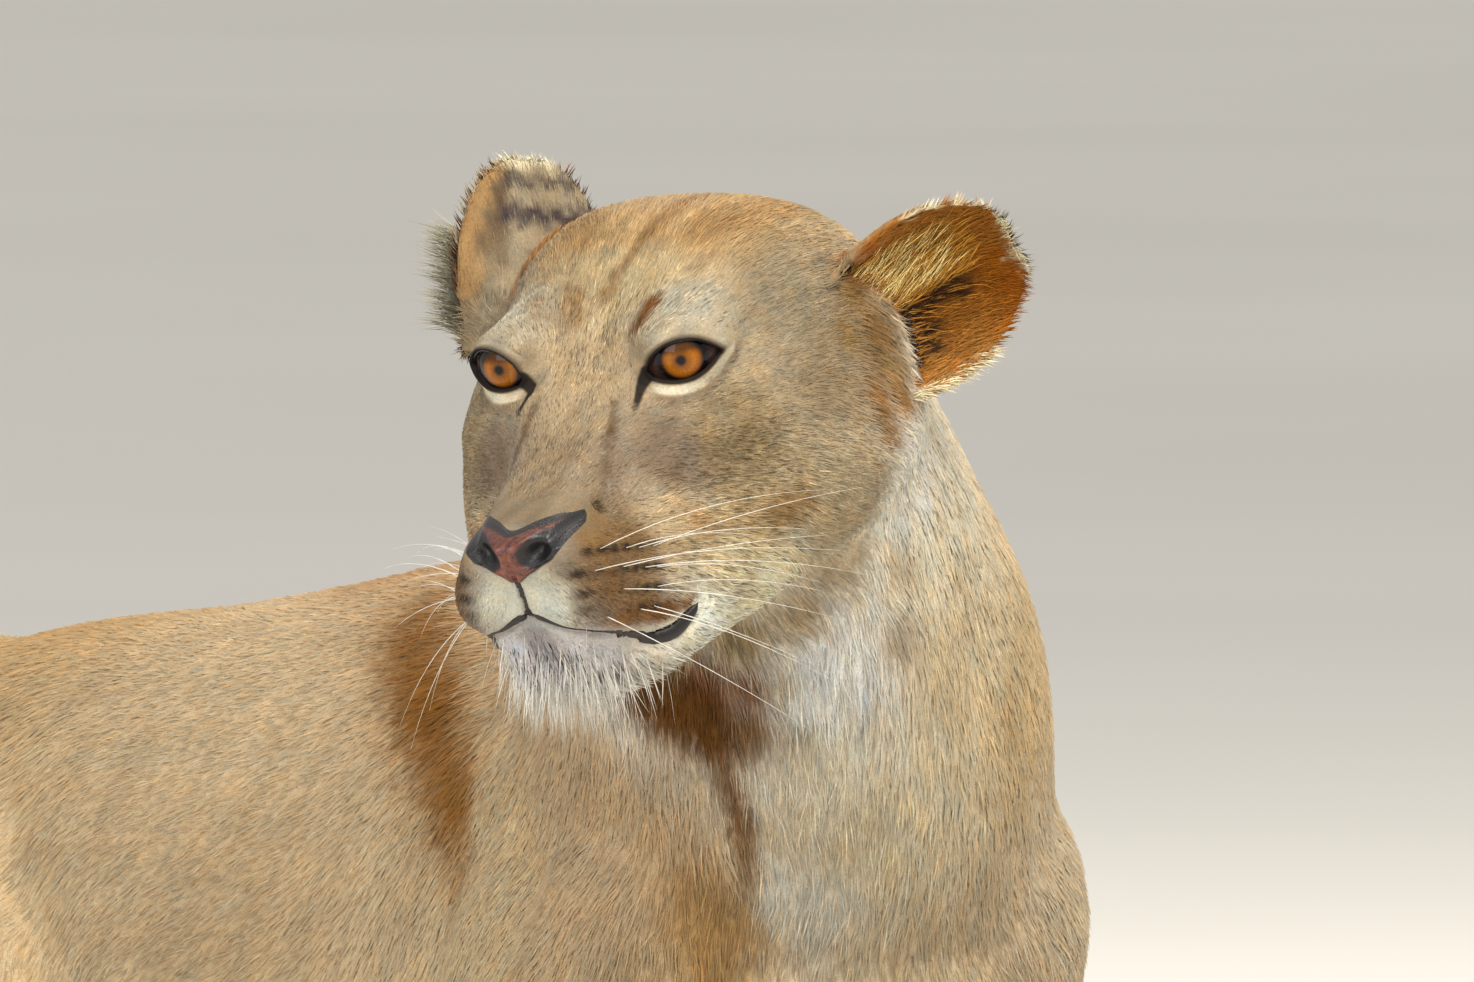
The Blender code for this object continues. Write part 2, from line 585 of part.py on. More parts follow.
def main():
    for obj in list(bpy.data.objects):
        bpy.data.objects.remove(obj)
    home, cutters = collection("lioness"), collection("cutters", hidden=True)
    frame = head_frame()
    whole = fused_form(cutters, frame)
    body = thinned(whole, "trunk_middle", BODY_SHARE, home)
    boolean(body, box("ground", (-2, -2, -1), (2, 2, FLOOR), cutters), "DIFFERENCE")

    behind = frame @ Matrix.Rotation(math.radians(-24.8), 4, "X")
    corners = (-18, -40, -20), (18, 14.2, 25)
    head = part_off(thinned(whole, "fine", HEAD_SHARE, cutters), "head", *corners, home, cutters, behind)
    part_off(body, "head_room", *corners, cutters, cutters, behind)
    base = Matrix.Translation((0, -0.085, 0.335)) @ aimed((-0.12, -0.62, 0.77))
    neck = part_off(body, "neck", (-0.3, 0, -0.3), (0.3, 0.6, 0.3), home, cutters, base)
    flesh = [grown(solid, GAP, solid.name + "_grown", cutters) for solid in (head, neck)]
    part_head(head, flesh, home, cutters, frame)
    part_legs(body, home, cutters)
    add_claws(home, cutters)
    for label, low, high in TAIL_BOXES:
        part_off(body, label, low, high, home, cutters)
    part_off(body, "trunk_front", (-0.41, -0.5, -0.1), (0.42, 0.17, 0.6), home, cutters)
    part_off(body, "trunk_rear", (-0.5, 0.56, -0.1), (0.4, 1.2, 0.6), home, cutters)

    low, high = Vector((9, 9, 9)), Vector((-9, -9, -9))
    for obj in home.objects:
        for vert in obj.data.vertices:
            low = Vector(map(min, low, vert.co))
            high = Vector(map(max, high, vert.co))
    shift = Matrix.Translation((-(low.x + high.x) / 2, -(low.y + high.y) / 2, -low.z))
    for obj in home.objects:
        obj.data.transform(shift)
        slot, colour, roughness = next(
            look for start, look in LOOKS if obj.name.startswith(start)
        )
        paint(obj, colour, roughness, slot)


if __name__ == "__main__":
    main()
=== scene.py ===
"""A life-size lioness lying at rest, her head turned to her right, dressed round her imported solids.

Metres, +Z up, her chest towards -Y and her left side towards +X, the floor at Z = 0. One skin, lofted and
fused from muscle masses, lies inside the solids by the depth of the coat. Over it lies a coat of thin solid
tufts. Eyes, lid rims, nose leather, lips, whiskers and claws are pieces of their own. Head dimensions are
centimetres about the point midway between the eyes, as (lateral, forward, up).
"""

import logging
import math
from dataclasses import dataclass
from enum import Enum

import bmesh
import bpy
import numpy as np
from mathutils import Matrix, Vector
from mathutils.bvhtree import BVHTree


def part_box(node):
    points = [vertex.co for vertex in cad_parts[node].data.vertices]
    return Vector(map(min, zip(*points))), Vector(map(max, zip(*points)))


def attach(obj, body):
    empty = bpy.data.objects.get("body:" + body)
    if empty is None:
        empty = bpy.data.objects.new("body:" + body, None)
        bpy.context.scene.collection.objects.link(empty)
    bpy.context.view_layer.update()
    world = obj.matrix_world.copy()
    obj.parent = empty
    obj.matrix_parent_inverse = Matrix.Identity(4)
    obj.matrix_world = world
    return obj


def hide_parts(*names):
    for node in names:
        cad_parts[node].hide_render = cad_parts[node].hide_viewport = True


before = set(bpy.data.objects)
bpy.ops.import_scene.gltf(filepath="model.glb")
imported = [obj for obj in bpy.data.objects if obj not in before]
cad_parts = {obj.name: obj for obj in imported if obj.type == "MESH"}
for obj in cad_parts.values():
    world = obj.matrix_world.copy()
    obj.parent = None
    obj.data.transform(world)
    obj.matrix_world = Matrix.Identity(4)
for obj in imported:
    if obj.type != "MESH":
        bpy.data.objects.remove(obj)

Array = np.ndarray
Object = bpy.types.Object
Tree = bpy.types.NodeTree
log = logging.getLogger("lioness")
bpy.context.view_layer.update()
SIDES = {"left": 1.0, "right": -1.0}


# ---- numbers and places
def unit(vectors: Array) -> Array:
    """Vectors scaled to length 1."""
    return vectors / np.maximum(np.linalg.norm(vectors, axis=-1, keepdims=True), 1e-12)


def bell(points: Array, centre: tuple, spread: tuple) -> Array:
    """A soft bump in space: exp(-|p - c|^2 / 2 s^2), with its own spread along each axis."""
    return np.exp(-0.5 * (((points - np.array(centre)) / np.array(spread)) ** 2).sum(axis=-1))


def ramp(values: Array, low: float, high: float) -> Array:
    """A smooth step from 0 at low to 1 at high: 3t^2 - 2t^3."""
    t = np.clip((values - low) / (high - low), 0.0, 1.0)
    return t * t * (3 - 2 * t)


def turns(count: int) -> Array:
    """Angles spread evenly round a circle, from 0."""
    return np.linspace(0, 2 * np.pi, count, endpoint=False)


def between(stations: Array, steps: int) -> Array:
    """Rows on a smooth curve through stations (Catmull-Rom), with this many steps to a span."""
    p = np.asarray(stations, float)
    p = np.concatenate([2 * p[:1] - p[1:2], p, 2 * p[-1:] - p[-2:-1]])
    a, b, c, d = (p[k : len(p) - 3 + k, None] for k in range(4))
    t = np.linspace(0, 1, steps, endpoint=False).reshape(1, -1, *[1] * (p.ndim - 1))
    rows = 0.5 * (2 * b + (c - a) * t + (2 * a - 5 * b + 4 * c - d) * t**2 + (3 * b - a - 3 * c + d) * t**3)
    return np.concatenate([rows.reshape(-1, *p.shape[1:]), p[-2:-1]])


def aimed(direction: tuple, up: tuple = (0, 0, 1)) -> Array:
    """A 3 x 3 turn whose second column is the direction and whose third leans towards up."""
    along = unit(np.asarray(direction, float))
    side = unit(np.cross(along, up))
    return np.stack([side, along, np.cross(side, along)], axis=1)


# ---- surfaces and meshes
@dataclass
class Surface:
    """Points and triangles of one closed shape, or of several."""

    points: Array
    faces: Array

    @staticmethod
    def tube(rings: Array) -> "Surface":
        """A closed surface P(i, j) over rings i and places j round them, with a fan to the centre at each end."""
        count, around = rings.shape[:2]
        i, j = np.meshgrid(np.arange(count - 1), np.arange(around), indexing="ij")
        a, b = i * around + j, i * around + (j + 1) % around
        c, d = a + around, b + around
        k, n = np.arange(around), (np.arange(around) + 1) % around
        top = (count - 1) * around
        first, last = np.full(around, count * around), np.full(around, count * around + 1)
        parts = ((a, b, d), (a, d, c), (first, n, k), (last, k + top, n + top))
        faces = np.concatenate([np.stack(part, -1).reshape(-1, 3) for part in parts])
        centres = np.stack([rings[0].mean(axis=0), rings[-1].mean(axis=0)])
        return Surface(np.concatenate([rings.reshape(-1, 3), centres]), faces).outward()

    @staticmethod
    def hoop(rings: Array) -> "Surface":
        """A closed ring-shaped surface P(i, j): like a tube whose last ring meets its first."""
        count, around = rings.shape[:2]
        i, j = np.meshgrid(np.arange(count), np.arange(around), indexing="ij")
        n, k = (i + 1) % count, (j + 1) % around
        a, b, c, d = i * around + j, i * around + k, n * around + j, n * around + k
        faces = np.concatenate([np.stack(part, -1).reshape(-1, 3) for part in ((a, b, d), (a, d, c))])
        return Surface(rings.reshape(-1, 3), faces).outward()

    def outward(self) -> "Surface":
        """The same shape with its faces turned outwards, by the sign of its volume."""
        a, b, c = (self.points[self.faces[:, k]] for k in range(3))
        if (a * np.cross(b, c)).sum() < 0:
            self.faces = self.faces[:, ::-1]
        return self

    @staticmethod
    def joined(parts: list) -> "Surface":
        """Several shapes as one."""
        starts = np.cumsum([0] + [len(part.points) for part in parts[:-1]])
        faces = np.concatenate([part.faces + start for part, start in zip(parts, starts)])
        return Surface(np.concatenate([part.points for part in parts]), faces)

    def piece(self, name: str, smooth: bool = True) -> Object:
        """A mesh object of this shape, at the origin."""
        mesh = bpy.data.meshes.new(name)
        count = len(self.faces)
        mesh.vertices.add(len(self.points))
        mesh.vertices.foreach_set("co", self.points.astype(np.float32).ravel())
        mesh.loops.add(count * 3)
        mesh.loops.foreach_set("vertex_index", self.faces.astype(np.int32).ravel())
        mesh.polygons.add(count)
        mesh.polygons.foreach_set("loop_start", np.arange(0, count * 3, 3, dtype=np.int32))
        mesh.polygons.foreach_set("use_smooth", np.full(count, smooth))
        mesh.update(calc_edges=True)
        made = bpy.data.objects.new(name, mesh)
        bpy.context.scene.collection.objects.link(made)
        return made


def points_of(obj: Object) -> Array:
    """An object's vertices as an array."""
    flat = np.empty(len(obj.data.vertices) * 3, np.float32)
    obj.data.vertices.foreach_get("co", flat)
    return flat.reshape(-1, 3).astype(float)


def normals_of(obj: Object) -> Array:
    """An object's vertex normals as an array."""
    flat = np.empty(len(obj.data.vertices) * 3, np.float32)
    obj.data.vertex_normals.foreach_get("vector", flat)
    return flat.reshape(-1, 3).astype(float)


def move_to(obj: Object, points: Array) -> None:
    """Puts an object's vertices at these points."""
    obj.data.vertices.foreach_set("co", points.astype(np.float32).ravel())
    obj.data.update()


def set_vectors(obj: Object, name: str, values: Array) -> None:
    """Gives an object's points an attribute of three numbers each."""
    layer = obj.data.attributes.new(name, "FLOAT_VECTOR", "POINT")
    layer.data.foreach_set("vector", values.astype(np.float32).ravel())


def settle(obj: Object) -> Object:
    """Applies an object's modifiers to its mesh."""
    graph = bpy.context.evaluated_depsgraph_get()
    mesh = bpy.data.meshes.new_from_object(obj.evaluated_get(graph))
    obj.modifiers.clear()
    obj.data = mesh
    return obj


def fuse(obj: Object, voxel: float, rounds: int) -> Object:
    """Joins overlapping masses into one soft closed form."""
    join = obj.modifiers.new("fuse", "REMESH")
    join.mode = "VOXEL"
    join.voxel_size = voxel
    soften = obj.modifiers.new("soften", "SMOOTH")
    soften.factor = 0.5
    soften.iterations = rounds
    return settle(obj)


def set_colour(obj: Object, name: str, values: Array) -> None:
    """Stores linear colours, one for each vertex, as an attribute that the finish reads."""
    layer = obj.data.attributes.new(name, "FLOAT_COLOR", "POINT")
    layer.data.foreach_set("color", np.column_stack([values, np.ones(len(values))]).astype(np.float32).ravel())


# ---- the head's own frame
class HeadFrame:
    """Takes head centimetres (lateral, forward, up) to the model's metres and back."""

    EYES_AT = Vector((-0.238, -0.340, 0.568))
    YAW, NOD, ROLL = math.radians(50.0), math.radians(14.0), math.radians(-4.3)
    EYE_AT = (4.75, -1.75, 0.75)

    def __init__(self) -> None:
        """Finds the frame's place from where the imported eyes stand."""
        turn = Matrix.Rotation(-self.YAW, 4, "Z") @ Matrix.Rotation(self.NOD, 4, "X")
        turn = turn @ Matrix.Rotation(self.ROLL, 4, "Y")
        matrix = Matrix.Translation(self.EYES_AT) @ turn @ Matrix.Scale(0.01, 4)
        self.matrix = np.array(matrix) @ np.diag((1.0, -1.0, 1.0, 1.0))
        boxes = [np.mean(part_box("eye_" + name), axis=0) for name in SIDES]
        eyes = self.world(np.array([(side * self.EYE_AT[0], *self.EYE_AT[1:]) for side in SIDES.values()]))
        self.shift = np.mean(boxes - eyes, axis=0)
        self.matrix[:3, 3] += self.shift
        self.inverse = np.linalg.inv(self.matrix)

    def world(self, points: Array) -> Array:
        """Head centimetres to metres."""
        return points @ self.matrix[:3, :3].T + self.matrix[:3, 3]

    def head(self, points: Array) -> Array:
        """Metres to head centimetres."""
        return points @ self.inverse[:3, :3].T + self.inverse[:3, 3]

    def turned(self, directions: Array) -> Array:
        """Head directions as directions of the model."""
        return unit(directions @ self.matrix[:3, :3].T)


HEAD = HeadFrame()


# ---- muscle masses
class Masses:
    """The lioness's body as overlapping ellipsoids and lofts, in metres."""

    SPINE_BEND = 0.085  # how far the hips lie to her right of the chest
    SPINE_LENGTH = 0.90
    PAW_TOES = ((-0.036, -0.052), (-0.0135, -0.074), (0.0125, -0.076), (0.036, -0.058))
    FORE_PAW = (0.136, -0.355, 1.0)  # lateral, along, size
    HIND_PAW = (0.228, 0.515, 0.92)

    # Stations of a loft: x, y, z, half width, height above and depth below.
    TRUNK = (
        (0, -0.2, 0.215, 0.05, 0.05, 0.07), (0, -0.17, 0.216, 0.086, 0.105, 0.13),
        (0, -0.1, 0.216, 0.116, 0.164, 0.19), (0, 0.0, 0.212, 0.134, 0.212, 0.216),
        (0, 0.1, 0.207, 0.148, 0.234, 0.214), (0, 0.22, 0.2, 0.16, 0.238, 0.208),
        (0, 0.36, 0.192, 0.168, 0.223, 0.2), (0, 0.5, 0.186, 0.168, 0.207, 0.194),
        (0, 0.64, 0.19, 0.16, 0.186, 0.196), (0, 0.76, 0.2, 0.142, 0.155, 0.192),
        (0, 0.85, 0.21, 0.118, 0.143, 0.17), (0, 0.91, 0.214, 0.086, 0.112, 0.125),
        (0, 0.945, 0.214, 0.045, 0.062, 0.07),
    )
    NECK = (
        (0.0, 0.15, 0.25, 0.118, 0.14, 0.15), (0.004, 0.04, 0.275, 0.136, 0.15, 0.165),
        (0.008, -0.05, 0.32, 0.144, 0.14, 0.162), (-0.014, -0.125, 0.385, 0.134, 0.132, 0.148),
        (-0.056, -0.185, 0.452, 0.115, 0.124, 0.128), (-0.098, -0.228, 0.512, 0.1, 0.118, 0.11),
        (-0.138, -0.262, 0.548, 0.092, 0.106, 0.094),
    )
    UPPER_ARM = (
        (0.102, -0.135, 0.275, 0.048, 0.06, 0.06), (0.112, -0.085, 0.205, 0.05, 0.072, 0.078),
        (0.126, -0.025, 0.135, 0.048, 0.064, 0.07), (0.138, 0.025, 0.085, 0.04, 0.048, 0.052),
    )
    FOREARM = (
        (0.142, 0.062, 0.058, 0.03, 0.034, 0.046), (0.144, -0.01, 0.06, 0.046, 0.05, 0.066),
        (0.143, -0.09, 0.054, 0.047, 0.047, 0.06), (0.139, -0.18, 0.047, 0.04, 0.039, 0.051),
        (0.136, -0.26, 0.042, 0.037, 0.037, 0.046), (0.136, -0.32, 0.04, 0.041, 0.037, 0.043),
        (0.136, -0.355, 0.034, 0.039, 0.03, 0.036),
    )
    SHANK = (
        (0.19, 0.5, 0.13, 0.046, 0.052, 0.055), (0.192, 0.59, 0.108, 0.048, 0.055, 0.056),
        (0.19, 0.7, 0.085, 0.042, 0.045, 0.046), (0.188, 0.8, 0.064, 0.031, 0.032, 0.038),
        (0.188, 0.875, 0.05, 0.027, 0.026, 0.04),
    )
    HIND_FOOT = (
        (0.188, 0.892, 0.038, 0.022, 0.024, 0.036), (0.192, 0.82, 0.036, 0.029, 0.029, 0.038),
        (0.206, 0.7, 0.032, 0.031, 0.029, 0.034), (0.219, 0.59, 0.032, 0.034, 0.031, 0.034),
        (0.226, 0.52, 0.032, 0.037, 0.029, 0.034),
    )
    TAIL = (
        (0.0, 0.86, 0.28, 0.046, 0.04, 0.05), (0.0, 0.94, 0.235, 0.038, 0.036, 0.042),
        (0.0, 1.005, 0.155, 0.03, 0.028, 0.032), (-0.01, 1.055, 0.08, 0.026, 0.024, 0.026),
        (-0.045, 1.1, 0.034, 0.023, 0.022, 0.026), (-0.12, 1.135, 0.023, 0.021, 0.02, 0.024),
        (-0.23, 1.13, 0.021, 0.0195, 0.0185, 0.022), (-0.325, 1.075, 0.02, 0.0185, 0.0175, 0.021),
        (-0.385, 0.985, 0.02, 0.018, 0.017, 0.021), (-0.405, 0.91, 0.022, 0.022, 0.021, 0.023),
        (-0.41, 0.85, 0.026, 0.029, 0.027, 0.027), (-0.41, 0.79, 0.024, 0.025, 0.023, 0.025),
        (-0.408, 0.745, 0.016, 0.01, 0.009, 0.013),
    )
    # Muscles on each side: centre, radii across, along and above, direction (left side).
    MUSCLES = (
        ((0.072, -0.005, 0.34), (0.05, 0.125, 0.078), (0.22, -0.75, -0.72)),
        ((0.094, -0.118, 0.262), (0.058, 0.074, 0.092), (0, 1, 0)),
        ((0.108, -0.018, 0.22), (0.048, 0.082, 0.112), (0, 1, 0.3)),
        ((0.14, 0.655, 0.188), (0.074, 0.2, 0.14), (0.12, -1, -0.26)),
        ((0.1, 0.775, 0.212), (0.078, 0.118, 0.132), (0, 1, -0.2)),
        ((0.182, 0.515, 0.148), (0.052, 0.082, 0.088), (0, 1, 0.2)),
        ((0.15, 0.8, 0.13), (0.055, 0.09, 0.095), (0, 1, 0)),
    )

    @classmethod
    def lean(cls, along: Array) -> Array:
        """How far the spine's bend carries a place at this length to her right: B (y / L)^2."""
        return cls.SPINE_BEND * (np.clip(along, 0, 1.3 * cls.SPINE_LENGTH) / cls.SPINE_LENGTH) ** 2

    @staticmethod
    def ball(centre: tuple, radii: tuple, direction: tuple = (0, 1, 0)) -> Surface:
        """An ellipsoid over latitude u and longitude v: (cos u cos v, sin u, cos u sin v), scaled and turned."""
        u, v = np.meshgrid(np.linspace(-1.5, 1.5, 17), turns(28), indexing="ij")
        local = np.stack([np.cos(u) * np.cos(v), np.sin(u), np.cos(u) * np.sin(v)], -1) * np.array(radii)
        return Surface.tube(local @ aimed(direction).T + np.array(centre))

    @staticmethod
    def limb(stations: tuple, side: float = 1.0, power: float = 2.0, axis: tuple | None = None) -> Surface:
        """A loft. Round each station runs |x / w|^p + |z / h|^p = 1, square to the path or to a fixed axis."""
        rows = between(np.array(stations) * (side, 1, 1, 1, 1, 1), 7)
        path = rows[:, :3]
        along = unit(np.gradient(path, axis=0)) if axis is None else np.tile(np.asarray(axis, float), (len(path), 1))
        across_way = unit(np.cross(along, (0.0, 0.0, 1.0)))
        top = np.cross(across_way, along)
        turn = turns(36)
        across = np.sign(np.cos(turn)) * np.abs(np.cos(turn)) ** (2 / power)
        rise = np.sign(np.sin(turn)) * np.abs(np.sin(turn)) ** (2 / power)
        high = np.where(rise > 0, rows[:, 4, None], rows[:, 5, None]) * rise
        wide = rows[:, 3, None] * across
        return Surface.tube(path[:, None] + across_way[:, None] * wide[..., None] + top[:, None] * high[..., None])

    def paw(self, side: float, out: float, along: float, size: float) -> list:
        """A paw's pad, its four toes and the heel's inner pad."""
        x = side * out
        parts = [self.ball((x, along - 0.018 * size, 0.034 * size), (0.045 * size, 0.062 * size, 0.037 * size))]
        for dx, dy in self.PAW_TOES:
            centre = (x + side * dx * size, along + dy * size, 0.026 * size)
            radii = (0.0155 * size, 0.034 * size, 0.027 * size)
            parts.append(self.ball(centre, radii, (side * dx * 2.5, -1, -0.18)))
        heel = (x - side * 0.036 * size, along + 0.055 * size, 0.036 * size)
        return [*parts, self.ball(heel, (0.014 * size, 0.022 * size, 0.014 * size))]

    def body(self, front_only: bool = False) -> Surface:
        """All the body's masses, bent with the spine, or only those near the neck."""
        parts = [self.limb(self.TRUNK, power=2.2, axis=(0, 1, 0)), self.limb(self.NECK, power=2.1)]
        for side in SIDES.values():
            muscles = self.MUSCLES[:3] if front_only else self.MUSCLES
            parts += [self.ball((side * x, y, z), radii, (side * a, b, c)) for (x, y, z), radii, (a, b, c) in muscles]
            parts.append(self.limb(self.UPPER_ARM, side))
            if not front_only:
                parts += [self.limb(path, side) for path in (self.FOREARM, self.SHANK, self.HIND_FOOT)]
                parts += self.paw(side, *self.FORE_PAW) + self.paw(side, *self.HIND_PAW)
        if not front_only:
            parts.append(self.limb(self.TAIL))
        whole = Surface.joined(parts)
        whole.points[:, 0] -= self.lean(whole.points[:, 1])
        whole.points += HEAD.shift
        return whole


class HeadShape:
    """The head as a loft of closed smooth sections, and the forms of face and ears laid on it."""

    # Sections: forward, top, five (lateral, up) points down the side, bottom.
    SECTIONS = (
        (11.45, -6.2, (0.9, -6.3), (1.6, -7.2), (1.8, -8.4), (1.6, -10.2), (1.0, -11.9), -12.1),
        (11.1, -5.0, (1.9, -5.2), (2.6, -6.3), (3.0, -8.0), (2.7, -10.2), (1.8, -12.9), -13.3),
        (10.4, -4.65, (2.4, -4.9), (3.3, -6.2), (3.9, -8.2), (3.4, -10.6), (2.3, -13.6), -14.2),
        (9.3, -4.35, (2.4, -4.6), (3.5, -5.9), (4.5, -8.3), (4.2, -10.8), (2.9, -13.9), -14.8),
        (7.8, -3.75, (2.3, -4.0), (3.5, -5.6), (4.9, -8.5), (4.9, -11.0), (3.7, -14.2), -15.3),
        (5.9, -2.8, (2.4, -3.1), (3.7, -5.0), (5.4, -8.3), (5.7, -11.0), (4.2, -14.2), -15.3),
        (4.0, -1.8, (2.5, -2.1), (4.0, -4.0), (6.1, -7.6), (6.5, -10.8), (4.7, -14.0), -15.0),
        (1.5, -0.4, (2.8, -0.6), (4.9, -2.4), (7.2, -6.2), (7.5, -10.2), (5.3, -13.7), -14.8),
        (-1.0, 1.1, (3.3, 1.0), (6.3, -0.4), (8.4, -5.0), (8.6, -9.5), (6.1, -13.4), -14.6),
        (-3.5, 2.8, (4.1, 2.4), (7.4, 0.3), (9.4, -4.4), (9.6, -9.0), (6.9, -13.0), -14.4),
        (-6.5, 4.4, (4.7, 3.8), (8.0, 1.1), (10.2, -4.2), (10.5, -8.8), (7.5, -12.6), -14.1),
        (-10.0, 5.7, (5.2, 4.9), (8.6, 1.7), (10.8, -4.2), (11.1, -8.6), (8.0, -12.4), -13.9),
        (-13.5, 5.8, (5.4, 5.0), (9.0, 1.7), (10.9, -4.0), (11.0, -8.4), (8.2, -12.2), -13.8),
        (-17.0, 4.6, (5.6, 3.9), (9.2, 0.8), (10.6, -4.0), (10.4, -8.2), (7.8, -12.0), -13.6),
        (-20.0, 2.5, (5.0, 1.8), (8.0, -0.6), (9.2, -4.4), (9.0, -8.2), (6.6, -11.6), -13.0),
    )
    # The muzzle's profile: how far forward of its sections it stands at each height.
    PROFILE_UP = (-14.0, -12.5, -10.6, -9.5, -7.0, -5.2, -4.0)
    PROFILE_OUT = (-2.2, -1.5, -1.2, 0.0, 0.0, 1.5, 1.8)
    # Face forms: centre, spread and push of each on the left side.
    FORMS = (
        ((4.5, 0.1, 2.3), (2.1, 1.8, 0.8), (0.1, 0.65, 0.35)),  # brow
        ((4.9, 0.2, -1.2), (1.9, 1.6, 0.7), (0.1, 0.4, 0.1)),  # lower lid
        ((3.9, 1.0, 0.45), (1.1, 1.6, 0.9), (-0.15, -0.45, 0.0)),  # inner eye socket
        ((6.9, -2.0, 0.55), (1.0, 1.4, 0.8), (-0.3, -0.05, 0.0)),  # outer eye socket
        ((6.6, -0.2, -2.9), (1.9, 2.2, 1.0), (0.3, 0.5, 0.2)),  # cheek bone
        ((4.1, 4.2, -4.4), (1.2, 2.4, 1.6), (-0.45, -0.1, -0.1)),  # hollow beside the bridge
        ((3.2, 9.6, -8.2), (1.6, 2.0, 1.5), (0.4, 0.35, 0.0)),  # whisker pad
        ((5.2, 5.0, -7.0), (1.2, 1.2, 2.0), (-0.4, 0.0, 0.0)),  # crease behind the pad
        ((1.0, 9.8, -12.9), (1.9, 1.6, 1.2), (0.05, 0.2, -0.1)),  # chin
        ((4.2, 8.2, -12.0), (1.6, 2.6, 0.8), (-0.6, -0.1, 0.0)),  # under the upper lip
        ((8.6, -5.5, 1.6), (1.6, 3.0, 1.4), (-0.35, 0.0, -0.1)),  # temple
        ((9.6, -8.0, -7.6), (2.0, 3.4, 2.4), (0.35, 0.0, -0.1)),  # jaw muscle
        ((0.0, -3.0, 2.6), (0.8, 3.6, 1.8), (0.0, -0.1, -0.14)),  # furrow of the forehead
    )

    def loft(self) -> Surface:
        """The head's plain form: closed Catmull-Rom sections, joined by Catmull-Rom curves from nose to nape."""
        rings = []
        for forward, top, *edge, bottom in self.SECTIONS:
            half = [(0.0, top), *edge, (0.0, bottom)]
            p = np.array(half + [(-x, z) for x, z in half[-2:0:-1]])
            t = np.linspace(0, 1, 6, endpoint=False)[:, None]
            a, b, c, d = (np.roll(p, k, axis=0)[:, None] for k in (1, 0, -1, -2))
            ring = 0.5 * (2 * b + (c - a) * t + (2 * a - 5 * b + 4 * c - d) * t**2 + (3 * b - a - 3 * c + d) * t**3)
            ring = ring.reshape(-1, 2)
            ahead = forward + np.interp(ring[:, 1], self.PROFILE_UP, self.PROFILE_OUT) * ramp(forward, 4.0, 9.5)
            rings.append(np.column_stack([ring[:, 0], ahead, ring[:, 1]]))
        return Surface.tube(HEAD.world(between(np.array(rings), 6)))

    def sculpted(self, points: Array) -> Array:
        """Head points with the face's forms added: each adds a * exp(-|p - c|^2 / 2 s^2) along its push."""
        moved = points.copy()
        for side in SIDES.values():
            for centre, spread, push in self.FORMS:
                weight = bell(points, (side * centre[0], *centre[1:]), spread)
                moved += weight[:, None] * np.array((side * push[0], *push[1:]))
        return moved


